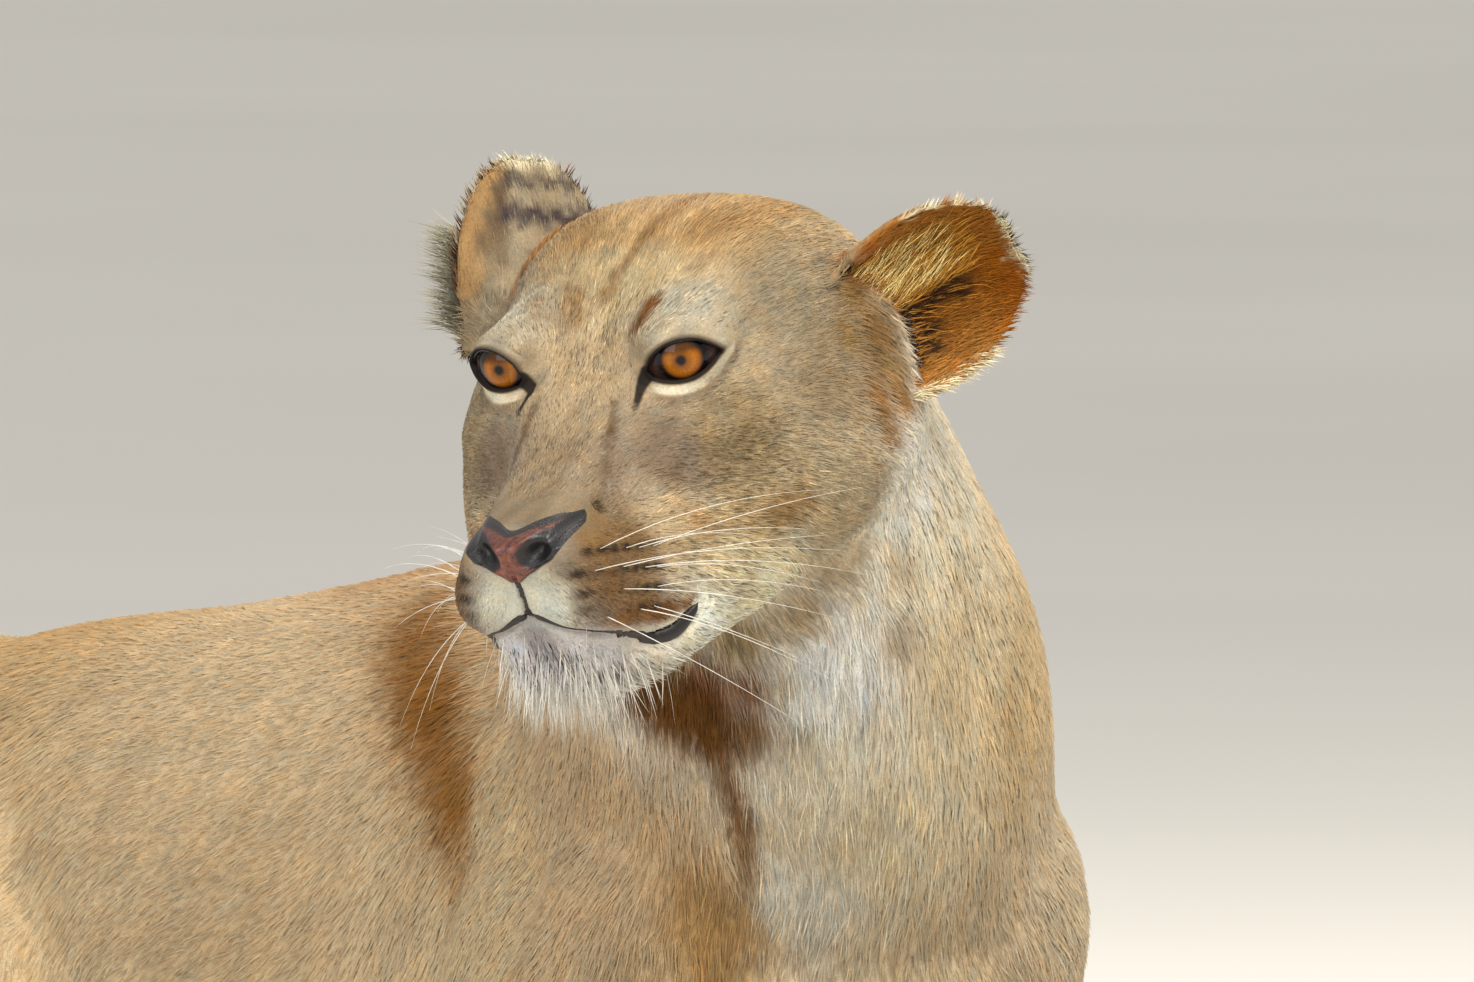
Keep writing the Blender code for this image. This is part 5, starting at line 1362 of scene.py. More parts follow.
class Coat:
    """Thin solid tufts over the whole skin: short and flat on the face, longer on neck, breast and belly."""

    MOST = 49000  # tufts to a piece
    BUDGET, QUICK_BUDGET = (330000, 11000), (60000, 3000)  # places seeded for short tufts, and for longer locks
    EAR_HAIRS, TAIL_HAIRS, CHIN_HAIRS = 4200, 2600, 500
    SEED = 11
    ROOT, TIP = 0.76, 1.09  # how much darker a tuft's root and how much lighter its tip are
    SINK = 0.0004

    def __init__(self, skin: Object) -> None:
        """Reads the skin's triangles."""
        self.rng = np.random.default_rng(self.SEED)
        mesh = skin.data
        mesh.calc_loop_triangles()
        flat = np.empty(len(mesh.loop_triangles) * 3, np.int32)
        mesh.loop_triangles.foreach_get("vertices", flat)
        self.triangles = flat.reshape(-1, 3)
        self.points, self.normals = points_of(skin), normals_of(skin)
        self.made: list = []

    @staticmethod
    def cover(points: Array) -> Array:
        """How many times over the tufts cover the skin: most on the head, least behind the shoulders."""
        places = frames(points)
        front = ramp(-places[Zone.BODY][:, 1], -14.0, 0.0) * ramp(places[Zone.BODY][:, 2], 12.0, 20.0)
        face = ramp(places[Zone.HEAD][:, 1], -16.0, -8.0) * ramp(places[Zone.HEAD][:, 2], -18.0, -14.0)
        face *= np.abs(places[Zone.HEAD][:, 0]) < 24
        return 1.05 + 0.85 * np.maximum(front, face)

    @staticmethod
    def breadth(length: Array) -> Array:
        """A tuft's width for its hairs' length, in metres."""
        return 0.00035 + 0.05 * length

    def seeded(self, budget: int, weight: Array) -> tuple[Array, Array]:
        """Even random places on the skin, and the skin's directions there.

        Args:
            budget: How many places.
            weight: How crowded they are at each vertex of the skin.

        Returns:
            World points and unit normals.
        """
        a, b, c = (self.points[self.triangles[:, k]] for k in range(3))
        area = np.linalg.norm(np.cross(b - a, c - a), axis=1) / 2
        total = np.cumsum(area * weight[self.triangles].mean(axis=1))
        at = (np.arange(budget) + self.rng.random(budget)) / budget * total[-1]
        rows = self.triangles[np.minimum(np.searchsorted(total, at), len(total) - 1)]
        u, v = self.rng.random((2, budget))
        over = u + v > 1
        u, v = np.where(over, 1 - u, u), np.where(over, 1 - v, v)
        share = np.stack([1 - u - v, u, v], -1)[..., None]
        return (self.points[rows] * share).sum(axis=1), unit((self.normals[rows] * share).sum(axis=1))

    def combed(self, budget: int, longer: float = 1.0, least: float = 0.0) -> Tufts:
        """Tufts over the skin that follow the coat's lie.

        Args:
            budget: How many to seed, before those on bare places are dropped.
            longer: How many times longer than the coat's own hairs.
            least: Only where the coat's hairs are at least this long, in metres.

        Returns:
            The tufts.
        """
        _, length, _ = LIE.at(self.points)
        width = self.breadth(length)
        weight = self.cover(self.points) / (width * length) * (length > least)
        root, normal = self.seeded(budget, weight)
        head = HEAD.head(root)
        bare = MUZZLE.bare(head)
        shorter = 0.40 + 0.60 * ramp(bare, 0.1, 1.0)
        for eye in EYES.values():
            which, _, gap = eye.near(head)
            shorter[which] *= 0.35 + 0.65 * ramp(gap, 0.12, 1.1)
            bare[which] = np.minimum(bare[which], gap - 0.10)
        keep = (bare > 0.02) & (root[:, 2] > 0.004)
        root, normal, shorter = root[keep], normal[keep], shorter[keep]
        flow, length, depth = LIE.at(root)
        count = len(root)
        waver = np.stack([smooth_noise(root, 0.020, 20 + k) for k in range(3)], -1) * 0.16
        waver += np.stack([smooth_noise(root, 0.006, 30 + k) for k in range(3)], -1) * 0.12
        flow = flow + waver + self.rng.normal(0, 0.10, (count, 3))
        flow = unit(flow - normal * (flow * normal).sum(axis=1)[:, None])
        length = length * longer * shorter * self.rng.uniform(0.75, 1.25, count)
        width = self.breadth(length / longer) / longer * self.rng.uniform(0.75, 1.25, count)
        rise = depth * shorter * self.rng.uniform(0.35, 0.85, count)
        head = HEAD.head(root)
        facing = unit(normal @ HEAD.inverse[:3, :3].T)
        for ear in EARS.values():
            rise += 0.0028 * ear.on(head) * ear.inner(head, facing)
        colour = Markings().colours(root, normal)
        return Tufts(root, normal, flow, length, width, rise, self.varied(root, colour))

    def varied(self, root: Array, colour: Array) -> Array:
        """Colours that differ from hair to hair, with the face's dark and pale hairs mixed in."""
        head = frames(root)[Zone.HEAD]
        face = ramp(head[:, 1], -6.0, 0.0) * (head[:, 2] < 4) * (head[:, 2] > -16) * (np.abs(head[:, 0]) < 12)
        near = ramp(-np.linalg.norm(head - (0, -4, -4), axis=1), -22.0, -14.0)
        tone = self.rng.normal(1.0, 0.11 + 0.06 * near) * (1 + (0.11 + 0.08 * near) * smooth_noise(root, 0.0045, 8))
        tone *= 1 + (0.08 + 0.06 * near) * smooth_noise(root, 0.0085, 9)
        pick = self.rng.random(len(root))
        tone *= np.where(pick < 0.22 * face, 0.42, 1.0) * np.where(pick > 1 - 0.22 * face, 1.4, 1.0)
        chin = bell(head, (0.0, 10.0, -11.6), (2.0, 1.6, 0.8))
        tone *= np.where(pick < 0.5 * chin, 0.3, 1.0)
        warm = self.rng.normal(0, 0.05, len(root))
        return np.clip(colour * tone[:, None] * np.stack([1 + warm, 1 + 0 * warm, 1 - warm], -1), 0.003, 0.95)

    @staticmethod
    def unwrapped(points: Array) -> Array:
        """Places on a tube round the points' own long axis: turn round it and distance along it, from 0 to 1."""
        middle = points.mean(axis=0)
        axis, side, up = np.linalg.svd(points - middle, full_matrices=False)[2]
        rel = points - middle
        turn = np.arctan2(rel @ up, rel @ side) / (2 * np.pi) + 0.5
        along = rel @ axis
        return np.stack([turn, (along - along.min()) / max(np.ptp(along), 1e-9)], -1) * 0.99 + 0.005

    def grown(self, name: str, tufts: Tufts, cut: Cut) -> Object:
        """A piece of tufts.

        Along each tuft at t its middle is at root + L t flow + H (2t - t^2) normal - L s t^2 up, for length L,
        rise H and sag s; its cut's points stand off that line.
        """
        shape = np.array(cut.value[0])
        faces = np.array(cut.value[1])
        t, across, up = (shape[:, k][None, :, None] for k in range(3))
        side = np.cross(tufts.flow, tufts.normal)
        length, width, rise = (getattr(tufts, key)[:, None, None] for key in ("length", "width", "rise"))
        points = tufts.root[:, None] - tufts.normal[:, None] * self.SINK + tufts.flow[:, None] * length * t
        points = points + tufts.normal[:, None] * (rise * (2 * t - t**2) + up * width * 0.35)
        points = points + side[:, None] * width * across
        points[..., 2] -= (length * t**2)[..., 0] * tufts.sag
        points[..., 2] = np.maximum(points[..., 2], 0.0008)
        count, size = points.shape[:2]
        order = faces[None] + (np.arange(count) * size)[:, None, None]
        made = Surface(points.reshape(-1, 3), order.reshape(-1, 3)).piece(name)
        shade = self.ROOT + (self.TIP - self.ROOT) * np.sqrt(t)
        set_colour(made, "coat_colour", np.clip(tufts.colour[:, None] * shade, 0, 1).reshape(-1, 3))
        soft = unit(tufts.normal[:, None] + side[:, None] * across * 0.7 + tufts.flow[:, None] * 0.12 * (t > 0.3))
        set_vectors(made, "custom_normal", soft)
        patch = self.unwrapped(tufts.root)[:, None] + np.stack([shape[:, 1], shape[:, 0] - 0.5], -1)[None] * 0.003
        corners = patch.reshape(-1, 2)[order.reshape(-1)]
        made.data.uv_layers.new(name="OFBake").data.foreach_set("uv", corners.astype(np.float32).ravel())
        FUR.dress(made)
        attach(made, "root")
        self.made.append(made)
        log.info("%s: %d tufts, %d triangles", name, count, len(order.reshape(-1, 3)))
        return made

    @staticmethod
    def areas(root: Array) -> dict:
        """Which tufts belong to each part of the coat: the nearest of the body's own paths, by its thickness."""
        places = frames(root)
        head, body = places[Zone.HEAD], places[Zone.BODY] / 100
        ears = np.zeros(len(root), bool)
        for ear in EARS.values():
            ears |= ear.on(head) > 0.2
        through = head @ Skin.neck_axes().T
        on_head = (through[:, 1] < Skin.NECK_CUT) & (np.abs(through) < Skin.HEAD_ROOM).all(axis=1)
        paths = {"neck": Masses.NECK, "trunk": Masses.TRUNK, "forelegs": Masses.FOREARM, "tail": Masses.TAIL}
        paths["hind_legs"] = Masses.SHANK + Masses.HIND_FOOT
        gaps = []
        for name, stations in paths.items():
            rows = between(np.array(stations), 3)
            sides = (1, -1) if name in ("forelegs", "hind_legs") else (1,)
            flipped = [rows[None, :, :3] * (side, 1, 1) for side in sides]
            away = [np.linalg.norm(body[:, None] - path, axis=-1) / rows[None, :, 3] for path in flipped]
            gaps.append(np.min([gap.min(axis=1) for gap in away], axis=0))
        nearest_path = np.argmin(gaps, axis=0)
        found = {"ears": ears, "head": on_head & ~ears}
        for k, name in enumerate(paths):
            found[name] = (nearest_path == k) & ~on_head & ~ears
        return found

    def build(self) -> None:
        """Grows the coat area by area, then the long hairs."""
        budget, locks = self.BUDGET
        tufts = self.combed(budget)
        for name, which in self.areas(tufts.root).items():
            chosen = tufts.some(which)
            key = HEAD.head(chosen.root)[:, 1] if name in ("head", "ears") else chosen.root[:, 1]
            for number, part in enumerate(chosen.split(self.MOST, key), 1):
                self.grown(f"coat_{name}_{number}", part, Cut.SHORT)
        long = self.combed(locks, longer=1.4, least=0.0105)
        long.sag = 0.10
        long.width *= 0.75
        self.grown("coat_locks", long, Cut.LONG)
        self.grown("coat_ear_hairs", self.ear_hairs(self.EAR_HAIRS), Cut.LONG)
        self.grown("coat_tail_tuft", self.tail_hairs(self.TAIL_HAIRS), Cut.LONG)
        self.grown("coat_chin_hairs", self.chin_hairs(self.CHIN_HAIRS), Cut.LONG)

    # Ear hairs: share of each ear's, heights, widths across, the way they run (across, out, forward), length, colour.
    EAR_TUFTS = {
        "left": (
            (0.46, (0.06, 0.74), (-0.15, 0.66), (0.55, 0.65, 0.45), (0.01, 0.024), "#A87628"),
            (0.14, (0.02, 0.62), (-0.1, 0.48), (0.75, 0.55, 0.5), (0.014, 0.03), "#E2CE8C"),
            (0.12, (-0.02, 0.2), (-0.45, 0.2), (-0.9, 0.15, 0.55), (0.012, 0.026), "#E6DCBE"),
            (0.16, (0.15, 0.76), (-0.85, -0.15), (-0.1, 0.9, 0.3), (0.008, 0.018), "#A06A24"),
            (0.12, (0.05, 0.6), (-1.0, -0.9), (-0.4, 0.7, 0.2), (0.006, 0.013), "#E0D0A6"),
        ),
        "right": (
            (0.55, (-0.08, 0.5), (0.75, 0.99), (0.35, 0.35, 0.85), (0.016, 0.034), "#DED2A6"),
            (0.3, (-0.05, 0.45), (0.2, 0.8), (0.45, 0.25, 0.95), (0.02, 0.04), "#CFC294"),
            (0.15, (0.85, 0.98), (-0.5, 0.8), (0.1, 0.9, 0.4), (0.005, 0.01), "#E6DCBC"),
        ),
    }

    def ear_hairs(self, count: int) -> Tufts:
        """Long fine hairs in the ears: fanned up over the cup, curled at its root, and out past the forward rim."""
        rows = []
        rng = self.rng
        for name, ear in EARS.items():
            for share, heights, widths, way, lengths, code in self.EAR_TUFTS[name]:
                n = int(count * share * (0.68 if name == "left" else 0.32))
                u, v = rng.uniform(*heights, n), rng.uniform(*widths, n)
                root = ear.wall_at(u, v, 0.0)
                inward = ear.wall_at(u, v, -1.0) - root
                flow = ear.axes.T @ np.array(way) + rng.normal(0, 0.16, (n, 3))
                length = rng.uniform(*lengths, n)
                colour = np.array(linear(code)) * rng.uniform(0.5, 1.3, n)[:, None]
                lift = 0.3 if name == "left" else 1.6
                normal = unit(unit(HEAD.turned(inward)) + np.array((0.0, 0.0, lift)))
                flow = unit(HEAD.turned(flow * (ear.side, 1, 1)))
                rows.append((HEAD.world(root), normal, flow, length, 0.0005 + 0.006 * length, 0.10 * length, colour))
        return Tufts(*(np.concatenate(column) for column in zip(*rows)), 0.15)

    def tail_hairs(self, count: int) -> Tufts:
        """The dark tuft: long hairs along the tail's last stretch, spread round it and drawn to its end."""
        rng = self.rng
        path = np.array(Masses.TAIL)[-5:, :4]
        t = rng.uniform(0, 3.4, count)
        rows = np.stack([np.interp(t, np.arange(5), path[:, k]) for k in range(4)], -1)
        along = unit(path[-1, :3] - path[0, :3])
        turn = rng.uniform(0, 2 * np.pi, count)
        side = unit(np.cross(along, (0, 0, 1)))
        normal = side * np.cos(turn)[:, None] + np.array((0, 0, 1.0)) * np.sin(turn)[:, None]
        root = rows[:, :3] + normal * (rows[:, 3] * 0.45)[:, None]
        root[:, 0] -= Masses.lean(root[:, 1])
        root += HEAD.shift
        flow = unit(along + normal * 0.25 + rng.normal(0, 0.08, (count, 3)))
        room = np.clip(4.0 - t, 0.8, 3.0) * 0.016
        length = room * rng.uniform(0.7, 1.1, count)
        colour = np.array(linear("#2E1E13")) * rng.uniform(0.6, 1.6, count)[:, None]
        return Tufts(root, normal, flow, length, np.full(count, 0.0019), 0.05 * length, colour, 0.08)

    def chin_hairs(self, count: int) -> Tufts:
        """Sparse long white hairs that hang from the chin."""
        rng = self.rng
        head = HEAD.head(self.points)
        weight = bell(head, (0.0, 9.5, -13.6), (2.6, 2.0, 1.2))
        root, normal = self.seeded(count, weight)
        flow = HEAD.turned(np.array((0.0, 0.15, -1.0))) + rng.normal(0, 0.16, (count, 3)) + normal * 0.25
        length = rng.uniform(0.012, 0.030, count)
        colour = np.array(linear("#E6E2D8")) * rng.uniform(0.8, 1.1, count)[:, None]
        return Tufts(root, normal, unit(flow), length, np.full(count, 0.0007), 0.1 * length, colour, 0.0)


# ---- claws
class Claws:
    """The claws' drawn-in tips, one curved horn cone to a toe."""

    def surface(self) -> Surface:
        """Each claw is a bent cone: its middle runs from inside the toe to the tip, dropping with the square of t."""
        parts = []
        for name in self.nodes():
            low, high = (np.array(corner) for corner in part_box(name))
            middle = (low + high) / 2
            t = np.linspace(0, 1, 12)[:, None]
            start = np.array((middle[0], high[1] + 0.004, high[2] - 0.0015))
            end = np.array((middle[0], low[1], low[2] + 0.0012))
            path = start + (end - start) * t
            path[:, 2] += 0.0022 * np.sin(np.pi * t[:, 0])
            size = 0.0026 * (1 - t[:, 0] ** 1.8) + 0.00025
            turn = turns(14)
            ring = np.stack([np.cos(turn) * 0.75, 0 * turn, np.sin(turn)], -1)
            parts.append(Surface.tube(path[:, None] + ring[None] * size[:, None, None]))
        return Surface.joined(parts)

    @staticmethod
    def nodes() -> list:
        """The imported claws' names."""
        return [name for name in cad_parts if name.startswith("claw_")]


# ---- finishes
def add(tree: Tree, kind: str, settings: dict | None = None, **sockets: object) -> bpy.types.Node:
    """Adds a shader node.

    Args:
        tree: The node tree.
        kind: The node's type name without its ShaderNode prefix.
        settings: Properties of the node.
        sockets: Input values or linked output sockets, named with _ for a space, or s0, s1 for a number.

    Returns:
        The new node.
    """
    made = tree.nodes.new("ShaderNode" + kind)
    for key, value in (settings or {}).items():
        setattr(made, key, value)
    for key, value in sockets.items():
        numbered = key[0] == "s" and key[1:].isdigit()
        socket = made.inputs[int(key[1:]) if numbered else key.replace("_", " ")]
        if isinstance(value, bpy.types.NodeSocket):
            tree.links.new(value, socket)
        else:
            socket.default_value = value
    return made


def blank(name: str) -> tuple[bpy.types.Material, Tree, bpy.types.Node]:
    """A new material with one Principled shader."""
    made = bpy.data.materials.new(name)
    made.use_nodes = True
    tree = made.node_tree
    return made, tree, tree.nodes["Principled BSDF"]


def colour_stops(ramp_node: bpy.types.Node, stops: tuple) -> None:
    """Sets a colour ramp's stops from (place, hex colour) pairs."""
    elements = ramp_node.color_ramp.elements
    while len(elements) > 1:
        elements.remove(elements[-1])
    for k, (place, code) in enumerate(stops):
        element = elements[0] if k == 0 else elements.new(place)
        element.position = place
        element.color = (*linear(code), 1.0)


@dataclass(frozen=True)
class Finish:
    """A real surface: its name, gloss and feel."""

    name: str
    roughness: float
    specular: float = 0.5
    sheen: float = 0.0
    coat: float = 0.0
    bump: float = 0.0
    grain_mm: float = 1.0

    def start(self) -> tuple:
        """The material, its tree and its shader with this finish's gloss, and millimetres of the object."""
        made, tree, shader = blank(self.name)
        shader.inputs["Roughness"].default_value = self.roughness
        shader.inputs["Specular IOR Level"].default_value = self.specular
        shader.inputs["Sheen Weight"].default_value = self.sheen
        shader.inputs["Coat Weight"].default_value = self.coat
        shader.inputs["Coat Roughness"].default_value = 0.04
        place = add(tree, "TexCoord").outputs["Object"]
        return made, tree, shader, place

    def grain(self, tree: Tree, place: object, kind: str = "TexNoise") -> bpy.types.Node:
        """A pattern whose grains are this finish's size."""
        return add(tree, kind, Vector=place, Scale=1000.0 / self.grain_mm)

    def bumped(self, tree: Tree, shader: bpy.types.Node, height: object, depth_mm: float) -> None:
        """Raises the surface by a height pattern of this depth."""
        bump = add(tree, "Bump", Height=height, Strength=self.bump, Distance=depth_mm / 1000)
        tree.links.new(bump.outputs["Normal"], shader.inputs["Normal"])

    def marked(self, tree: Tree, shader: bpy.types.Node, place: object, low: float, high: float) -> object:
        """Paints the coat's own colours, their tone moved between low and high by the grain, which it returns."""
        base = add(tree, "Attribute", {"attribute_name": "coat_colour"}).outputs["Color"]
        grain = self.grain(tree, place).outputs["Fac"]
        tone = add(tree, "MapRange", Value=grain, From_Min=0.3, From_Max=0.7, To_Min=low, To_Max=high)
        mixed = add(tree, "VectorMath", {"operation": "MULTIPLY"}, s0=base, s1=tone.outputs["Result"])
        tree.links.new(mixed.outputs["Vector"], shader.inputs["Base Color"])
        return grain

    def put_on(self, obj: Object, made: bpy.types.Material) -> None:
        """Gives an object this one material."""
        obj.data.materials.clear()
        obj.data.materials.append(made)


@dataclass(frozen=True)
class Fur(Finish):
    """Tawny hair: dry keratin, so a soft sheen at grazing light and no sharp gloss; colours differ hair by hair."""

    def dress(self, obj: Object) -> None:
        """Paints the tufts by their own colours, with a fine streak of tone across them."""
        made = bpy.data.materials.get(self.name)
        if made is None:
            made, tree, shader, place = self.start()
            self.marked(tree, shader, place, 0.86, 1.12)
        self.put_on(obj, made)


@dataclass(frozen=True)
class Hide(Finish):
    """The hide under the hair: the same markings, darkened as painted shade between the tufts, with the nap of the
    undercoat.
    """

    def dress(self, obj: Object) -> None:
        """Paints the skin by its markings, darkened as painted shade in the gaps between the tufts, and roughens it
        with the undercoat's nap.
        """
        made, tree, shader, place = self.start()
        # Tone 0.74 to 1.0 of the markings: painted shade, so the skin seen between the tufts reads as shadow.
        self.bumped(tree, shader, self.marked(tree, shader, place, 0.74, 1.0), 0.6)
        self.put_on(obj, made)


@dataclass(frozen=True)
class NoseLeather(Finish):
    """Damp nose leather: pebbled, brick red in the middle, black at the rims and in the nostrils, with a wet gleam."""

    def dress(self, obj: Object) -> None:
        """Paints the leather by how near its rim or a nostril it is, and pebbles it."""
        made, tree, shader, place = self.start()
        fact = add(tree, "Attribute", {"attribute_name": "rim_and_pit"}).outputs["Vector"]
        dark = add(tree, "SeparateXYZ", Vector=fact).outputs["X"]
        blotch = add(tree, "TexNoise", Vector=place, Scale=420.0, Detail=4.0).outputs["Fac"]
        red = add(tree, "ValToRGB", Fac=blotch)
        colour_stops(red, ((0.30, "#40201A"), (0.50, "#6C3626"), (0.70, "#884A30")))
        colour = add(tree, "Mix", {"data_type": "RGBA"}, s0=dark, s6=red.outputs["Color"], s7=(*linear("#0B0809"), 1))
        tree.links.new(colour.outputs[2], shader.inputs["Base Color"])
        pebbles = self.grain(tree, place, "TexVoronoi").outputs["Distance"]
        self.bumped(tree, shader, pebbles, 0.35)
        self.put_on(obj, made)


@dataclass(frozen=True)
class BareSkin(Finish):
    """Bare dark skin of lips and lid rims: nearly black, moist and faintly creased."""

    colour: str = "#1A1112"

    def dress(self, obj: Object) -> None:
        """Paints the skin with a slight change of tone, and creases it."""
        made, tree, shader, place = self.start()
        crease = self.grain(tree, place).outputs["Fac"]
        tone = add(tree, "ValToRGB", Fac=crease)
        colour_stops(tone, ((0.35, "#0F0A0B"), (0.65, self.colour)))
        tree.links.new(tone.outputs["Color"], shader.inputs["Base Color"])
        self.bumped(tree, shader, crease, 0.2)
        self.put_on(obj, made)


@dataclass(frozen=True)
class EyeGlaze(Finish):
    """A living eye: amber iris with fine spokes and a small round pupil, its top darkened by a painted shadow of the
    upper lid, under the tear film's sharp gloss.
    """

    def dress(self, obj: Object) -> None:
        """Paints pupil, iris, dark ring and corner tissue by distance from the gaze, in centimetres, and darkens the
        top with a painted shadow of the upper lid.
        """
        made, tree, shader, _ = self.start()
        seen = add(tree, "Attribute", {"attribute_name": "gaze"}).outputs["Vector"]
        part = add(tree, "SeparateXYZ", Vector=seen)
        flat = add(tree, "CombineXYZ", X=part.outputs["X"], Z=part.outputs["Z"]).outputs["Vector"]
        away = add(tree, "VectorMath", {"operation": "LENGTH"}, s0=flat).outputs["Value"]
        spin = add(tree, "Math", {"operation": "ARCTAN2"}, s0=part.outputs["Z"], s1=part.outputs["X"]).outputs["Value"]
        polar = add(tree, "CombineXYZ", X=spin, Y=away).outputs["Vector"]
        stretched = add(tree, "Mapping", Vector=polar, Scale=(9.0, 1.6, 1.0)).outputs["Vector"]
        spokes = add(tree, "TexNoise", Vector=stretched, Scale=1.6, Detail=5.0).outputs["Fac"]
        wander = add(tree, "MapRange", Value=spokes, To_Min=-0.07, To_Max=0.07).outputs["Result"]
        edge = add(tree, "Math", {"operation": "ADD"}, s0=away, s1=wander).outputs["Value"]
        shift = add(tree, "Math", {"operation": "DIVIDE"}, s0=edge, s1=1.6).outputs["Value"]
        iris = add(tree, "ValToRGB", Fac=shift)
        stops = ((0.105, "#040202"), (0.135, "#2E1607"), (0.22, "#7A4607"), (0.42, "#A05E08"), (0.56, "#824A08"))
        stops += ((0.63, "#4A230C"), (0.675, "#0D0807"), (0.78, "#0B0708"), (0.86, "#2B1B18"), (1.0, "#3A2722"))
        colour_stops(iris, stops)
        tone = add(tree, "MapRange", Value=spokes, From_Min=0.3, From_Max=0.7, To_Min=0.72, To_Max=1.22)
        # Painted shadow of the upper lid: the colour falls to 0.22 of itself towards the top of the eye.
        lid = {"From_Min": 0.15, "From_Max": 0.60, "To_Min": 1.0, "To_Max": 0.22}
        shade = add(tree, "MapRange", {"interpolation_type": "SMOOTHSTEP"}, Value=part.outputs["Z"], **lid)
        both = add(tree, "Math", {"operation": "MULTIPLY"}, s0=tone.outputs["Result"], s1=shade.outputs["Result"])
        colour = add(tree, "VectorMath", {"operation": "MULTIPLY"}, s0=iris.outputs["Color"], s1=both.outputs["Value"])
        tree.links.new(colour.outputs["Vector"], shader.inputs["Base Color"])
        self.put_on(obj, made)


@dataclass(frozen=True)
class Horn(Finish):
    """Claw or whisker keratin: streaked along its length, satin."""

    light: str = "#CFC6B4"
    dark: str = "#8A7C68"

    def dress(self, obj: Object) -> None:
        """Paints the horn with streaks between its two tones."""
        made, tree, shader, place = self.start()
        streak = self.grain(tree, place).outputs["Fac"]
        tone = add(tree, "ValToRGB", Fac=streak)
        colour_stops(tone, ((0.35, self.dark), (0.65, self.light)))
        tree.links.new(tone.outputs["Color"], shader.inputs["Base Color"])
        self.put_on(obj, made)


FUR = Fur("tawny_hair", 0.62, specular=0.12, sheen=0.04, grain_mm=0.9)
HIDE = Hide("haired_hide", 0.80, specular=0.2, bump=0.6, grain_mm=1.3)
LEATHER = NoseLeather("damp_nose_leather", 0.46, coat=0.12, bump=0.5, grain_mm=1.1)
LIPS = BareSkin("moist_lip_skin", 0.40, bump=0.4, grain_mm=1.2)
GLAZE = EyeGlaze("wet_amber_eye", 0.40, specular=0.1, coat=0.35)
HORN = Horn("claw_horn", 0.42, grain_mm=1.5)
WHISKER = Horn("whisker_keratin", 0.35, grain_mm=14.0, light="#F1EEE6", dark="#D6D0C2")


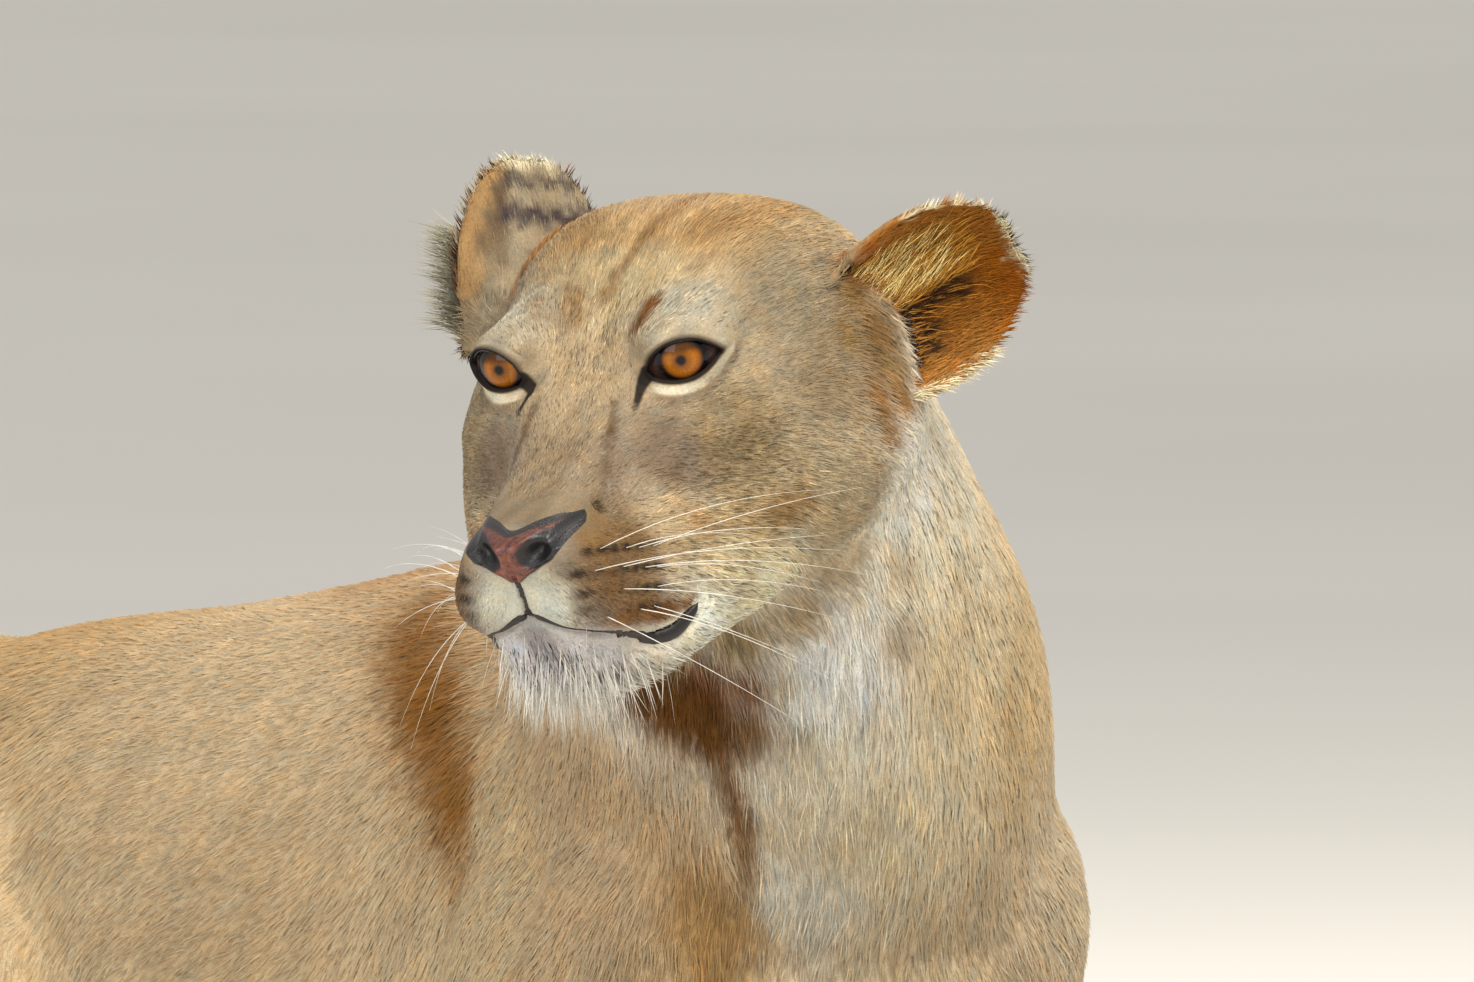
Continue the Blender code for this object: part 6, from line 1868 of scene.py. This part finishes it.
# ---- studio
class Studio:
    """A pale floor, soft lights and the camera."""

    AZIMUTH, ELEVATION, DISTANCE = math.radians(-26.0), math.radians(4.0), 10.0
    VIEW_WIDTH = 0.7482  # metres across the view at the head
    EYES_LEFT, EYES_ABOVE = 0.0726, 0.0645  # where the eyes' midpoint stands from the view's middle

    def axes(self) -> tuple[Vector, Vector, Vector]:
        """The camera's right, up and backward directions."""
        az, el = self.AZIMUTH, self.ELEVATION
        back = Vector((math.sin(az) * math.cos(el), -math.cos(az) * math.cos(el), math.sin(el)))
        right = Vector((math.cos(az), math.sin(az), 0))
        return right, back.cross(right), back

    def camera(self) -> None:
        """Looks from ahead of her right shoulder, so that the eyes' midpoint stands left of the middle and high."""
        right, up, back = self.axes()
        eyes = Vector(HEAD.EYES_AT + Vector((0.004, 0, 0.008)) + Vector(HEAD.shift))
        at = eyes + right * self.EYES_LEFT - up * self.EYES_ABOVE
        data = bpy.data.cameras.new("camera")
        data.sensor_width = 36.0
        data.lens = 36.0 * self.DISTANCE / self.VIEW_WIDTH
        data.clip_end = 200.0
        made = bpy.data.objects.new("camera", data)
        facing = Matrix((right, up, back)).transposed().to_4x4()
        made.matrix_world = Matrix.Translation(at + back * self.DISTANCE) @ facing
        bpy.context.scene.collection.objects.link(made)
        bpy.context.scene.camera = made

    def lamp(self, name: str, place: tuple, size: float, power: float, tint: str) -> None:
        """A square soft light aimed at the head.

        Args:
            name: The lamp's name.
            place: Metres to the camera's right, up, and towards the camera, from the eyes.
            size: The side of the square in metres.
            power: Watts.
            tint: The light's colour.
        """
        right, _, back = self.axes()
        eyes = HEAD.EYES_AT + Vector(HEAD.shift)
        at = eyes + right * place[0] + Vector((0, 0, 1)) * place[1] + back * place[2]
        data = bpy.data.lights.new(name, "AREA")
        data.energy, data.size, data.color = power, size, linear(tint)
        made = bpy.data.objects.new(name, data)
        made.matrix_world = Matrix.Translation(at) @ (eyes - at).to_track_quat("-Z", "Y").to_matrix().to_4x4()
        bpy.context.scene.collection.objects.link(made)

    def build(self) -> None:
        """Sets the camera, the floor, the lamps and a pale sky."""
        self.camera()
        corners = np.array([(-40, -40, 0), (40, -40, 0), (40, 40, 0), (-40, 40, 0)], float)
        floor = Surface(corners, np.array([(0, 1, 2), (0, 2, 3)])).piece("studio_floor", smooth=False)
        made, tree, shader = blank("pale_studio_floor")
        cloud = add(tree, "TexNoise", Vector=add(tree, "TexCoord").outputs["Object"], Scale=0.6).outputs["Fac"]
        tone = add(tree, "ValToRGB", Fac=cloud)
        colour_stops(tone, ((0.3, "#DEDBD4"), (0.7, "#E4E1DA")))
        tree.links.new(tone.outputs["Color"], shader.inputs["Base Color"])
        shader.inputs["Roughness"].default_value = 0.8
        floor.data.materials.append(made)
        self.lamp("key", (1.4, 2.8, 2.0), 1.6, 150.0, "#FFFAF2")
        self.lamp("fill", (-2.4, 1.0, 2.6), 2.4, 70.0, "#F2F6FF")
        self.lamp("back", (0.8, 2.6, -2.4), 1.4, 60.0, "#FFF8EC")
        world = bpy.data.worlds.new("sky")
        world.use_nodes = True
        world.node_tree.nodes["Background"].inputs["Color"].default_value = (*linear("#F4F2EE"), 1)
        world.node_tree.nodes["Background"].inputs["Strength"].default_value = 0.75
        bpy.context.scene.world = world
        bpy.context.scene.view_settings.view_transform = "Standard"


# ---- the whole
class Lioness:
    """The still model: skin, eyes, nose, lips, whiskers, claws and coat."""

    def place(self, obj: Object, finish: Finish, slot: str, *nodes: str) -> Object:
        """Dresses a piece, sets it on the body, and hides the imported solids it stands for."""
        finish.dress(obj)
        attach(obj, "root")
        if nodes:
            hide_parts(*nodes)
        log.info("%s: %d triangles", obj.name, len(obj.data.polygons))
        return obj

    def build(self) -> None:
        """Builds every piece in order."""
        skin = Skin().build()
        apart = ("eye_", "nose", "claw_")  # nodes that other pieces stand for
        self.place(skin, HIDE, "coat", *[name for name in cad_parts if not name.startswith(apart)])
        tree = BVHTree.FromPolygons(points_of(skin).tolist(), [tuple(face.vertices) for face in skin.data.polygons])
        for name, eye in EYES.items():
            shape, seen = eye.ball()
            ball = shape.piece(f"eye_ball_{name}")
            set_vectors(ball, "gaze", seen)
            self.place(ball, GLAZE, "eye", f"eye_{name}")
            self.place(eye.rim().piece(f"lid_rim_{name}"), LIPS, "nose_leather")
        shape, facts = MUZZLE.leather(tree)
        nose = shape.piece("nose_pad")
        set_vectors(nose, "rim_and_pit", facts)
        self.place(nose, LEATHER, "nose_leather", "nose")
        lips = Surface.joined([MUZZLE.strands(tree, path, sides) for path, sides in MUZZLE.lines()])
        self.place(lips.piece("lips"), LIPS, "nose_leather")
        whiskers = MUZZLE.whiskers(tree, np.random.default_rng(MUZZLE.WHISKER_SEED))
        self.place(whiskers.piece("whiskers"), WHISKER, "pale_coat")
        claws = Claws()
        self.place(claws.surface().piece("claws"), HORN, "horn", *claws.nodes())
        Coat(skin).build()


def main() -> None:
    """Builds the lioness and her studio."""
    logging.basicConfig(level=logging.INFO, format="%(name)s: %(message)s")
    Lioness().build()
    Studio().build()


if __name__ == "__main__":
    main()
